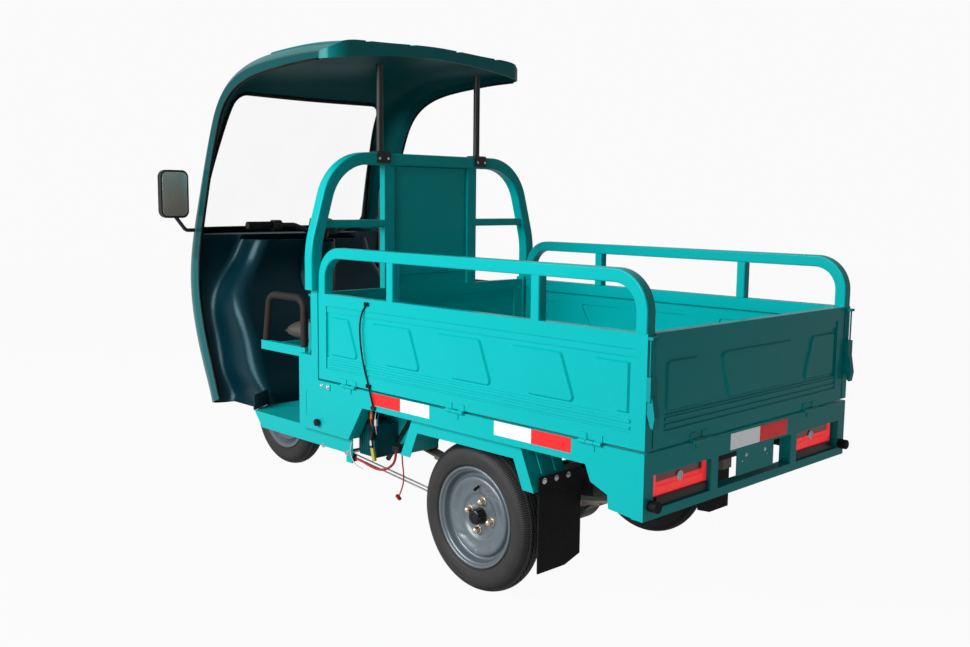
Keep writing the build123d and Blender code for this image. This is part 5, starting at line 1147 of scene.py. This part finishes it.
def cushion_form(middle, half, turn, fullness):
    """A crowned pad: a super-ellipsoid whose faces are lower towards their sides, by a share
    1 - fullness (a^4 + b^4 - a^4 b^4) of places a and b across it; its seam is half way up."""
    u = np.linspace(0, 2 * np.pi, 160, endpoint=False)
    v = np.linspace(-np.pi / 2, np.pi / 2, 49)
    u, v = np.meshgrid(u, v)

    across = power(np.cos(v), 0.2) * power(np.cos(u), CORNER_SHARE)
    along = power(np.cos(v), 0.2) * power(np.sin(u), CORNER_SHARE)
    up = power(np.sin(v), 0.72)
    crown = 1 - fullness * (across**4 + along**4 - across**4 * along**4)
    points = np.stack([across * half[0], along * half[1], up * half[2] * crown], -1)
    return points @ turn.T + middle


def pad(name, node, thin):
    """A pad for a CAD node, thin along one axis, with piping round its seam."""
    low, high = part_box(node)
    middle, half = np.array((low + high) / 2), np.array((high - low) / 2)
    axes = [0, 1, 2]
    axes.remove(thin)
    turn = np.zeros((3, 3))
    turn[axes[0], 0] = turn[axes[1], 1] = turn[thin, 2] = 1
    size = half[axes + [thin]] - [0.003, 0.003, 0.001]
    points = cushion_form(middle, size, turn, 0.22)
    made = surface(name, points, "root", finishes["seat_cover"], sharp=80.0)
    swell(made, PAD_REACH)
    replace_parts(made, node)
    corner = np.linspace(0, 2 * np.pi, 140)
    ring = np.stack(
        [power(np.cos(corner), CORNER_SHARE) * size[0], power(np.sin(corner), CORNER_SHARE) * size[1], 0 * corner], 1,
    )
    tube(f"{name}_piping", ring @ turn.T + middle, 0.0028, "root", finishes["seat_cover"], 8)


def swell(piece, reach):
    """Cloth under pressure for some steps, each point held within a reach of where it was. The
    cloth runs past the reach everywhere, so it gives the direction and the reach the length."""
    mesh = piece.data
    rest = points_of(mesh)
    cloth = piece.modifiers.new("pad", "CLOTH")
    cloth.settings.use_pressure = True
    cloth.settings.uniform_pressure_force = PAD_PRESSURE
    cloth.settings.effector_weights.gravity = 0.0
    scene = bpy.context.scene
    for step in range(1, PAD_STEPS + 1):
        scene.frame_set(step)
    shape = piece.evaluated_get(bpy.context.evaluated_depsgraph_get())
    step = points_of(shape.data) - rest
    piece.modifiers.remove(cloth)
    size = np.linalg.norm(step, axis=1)[:, None]
    step *= np.minimum(1.0, reach / np.maximum(size, 1e-9))
    mesh.vertices.foreach_set("co", (rest + step).ravel())
    mesh.update()
    scene.frame_set(1)


pad("seat_cushion_pad", "seat_cushion", 2)
pad("seat_back_pad", "seat_back", 0)


# ---- light and floor -----------------------------------------------------------------------
GLOSS_SHARE = 0.4  # how much of the white surroundings shows in a gloss face
SEEN_LEVEL, LIT_LEVEL, FLOOR_GLOW = 0.956, 0.07, 0.95
KEY_WATTS, KEY_PLACE, KEY_TARGET = 350.0, (0.7, 5.4, 3.0), (-0.1, 0.0, 0.9)


def seen_by(kit):
    """Which rays look: 1 for camera and transmission, a share for glossy ones, 0 for the rest."""
    outs = kit.node("ShaderNodeLightPath").socket.node.outputs
    camera_rays, glossy, through = (
        Value(kit, outs[f"Is {kind} Ray"]) for kind in ("Camera", "Glossy", "Transmission")
    )
    return camera_rays.largest(glossy * GLOSS_SHARE).largest(through)


def studio():
    """Near-white surroundings for what is seen, a low level for what is lit, a broad key light
    from the left, and a pale floor about as bright as the surroundings."""
    world = bpy.data.worlds.new("studio")
    bpy.context.scene.world = world
    world.use_nodes = True
    sky = Tree(world.node_tree)
    ground = sky.tree.nodes["Background"]
    ground.inputs["Color"].default_value = tone(1.0, 1.0, 1.0)
    shown = seen_by(sky)
    sky.feed(ground.inputs["Strength"], shown * (SEEN_LEVEL - LIT_LEVEL) + LIT_LEVEL)

    lamp = bpy.data.lights.new("key", "AREA")
    lamp.shape = "RECTANGLE"
    lamp.size, lamp.size_y = 4.6, 2.4
    lamp.energy = KEY_WATTS
    made = placed("key", lamp)
    made.location = KEY_PLACE
    made.rotation_euler = (Vector(KEY_TARGET) - Vector(KEY_PLACE)).to_track_quat("-Z", "Y").to_euler()

    finish = Finish("floor_white", Base_Color=tone(0.5, 0.5, 0.5), Roughness=0.9, Specular_IOR_Level=0.1)
    shown = seen_by(finish)
    glow = finish.node("ShaderNodeEmission", sockets={"Color": tone(1, 1, 1), "Strength": 1.0})
    blend = finish.node("ShaderNodeMixShader", sockets={0: shown * FLOOR_GLOW})
    finish.feed(blend.socket.node.inputs[1], Value(finish, finish.shader.outputs[0]))
    finish.feed(blend.socket.node.inputs[2], glow)
    finish.feed(finish.output.inputs["Surface"], blend)
    mesh = bpy.data.meshes.new("floor")
    corners = [(-14.0, -16.0, 0.0), (16.0, -16.0, 0.0), (16.0, 14.0, 0.0), (-14.0, 14.0, 0.0)]
    mesh.from_pydata(corners, [], [(0, 1, 2, 3)])
    mesh.materials.append(finish.material)
    placed("floor", mesh)


studio()
bpy.context.scene.view_settings.view_transform = "Standard"
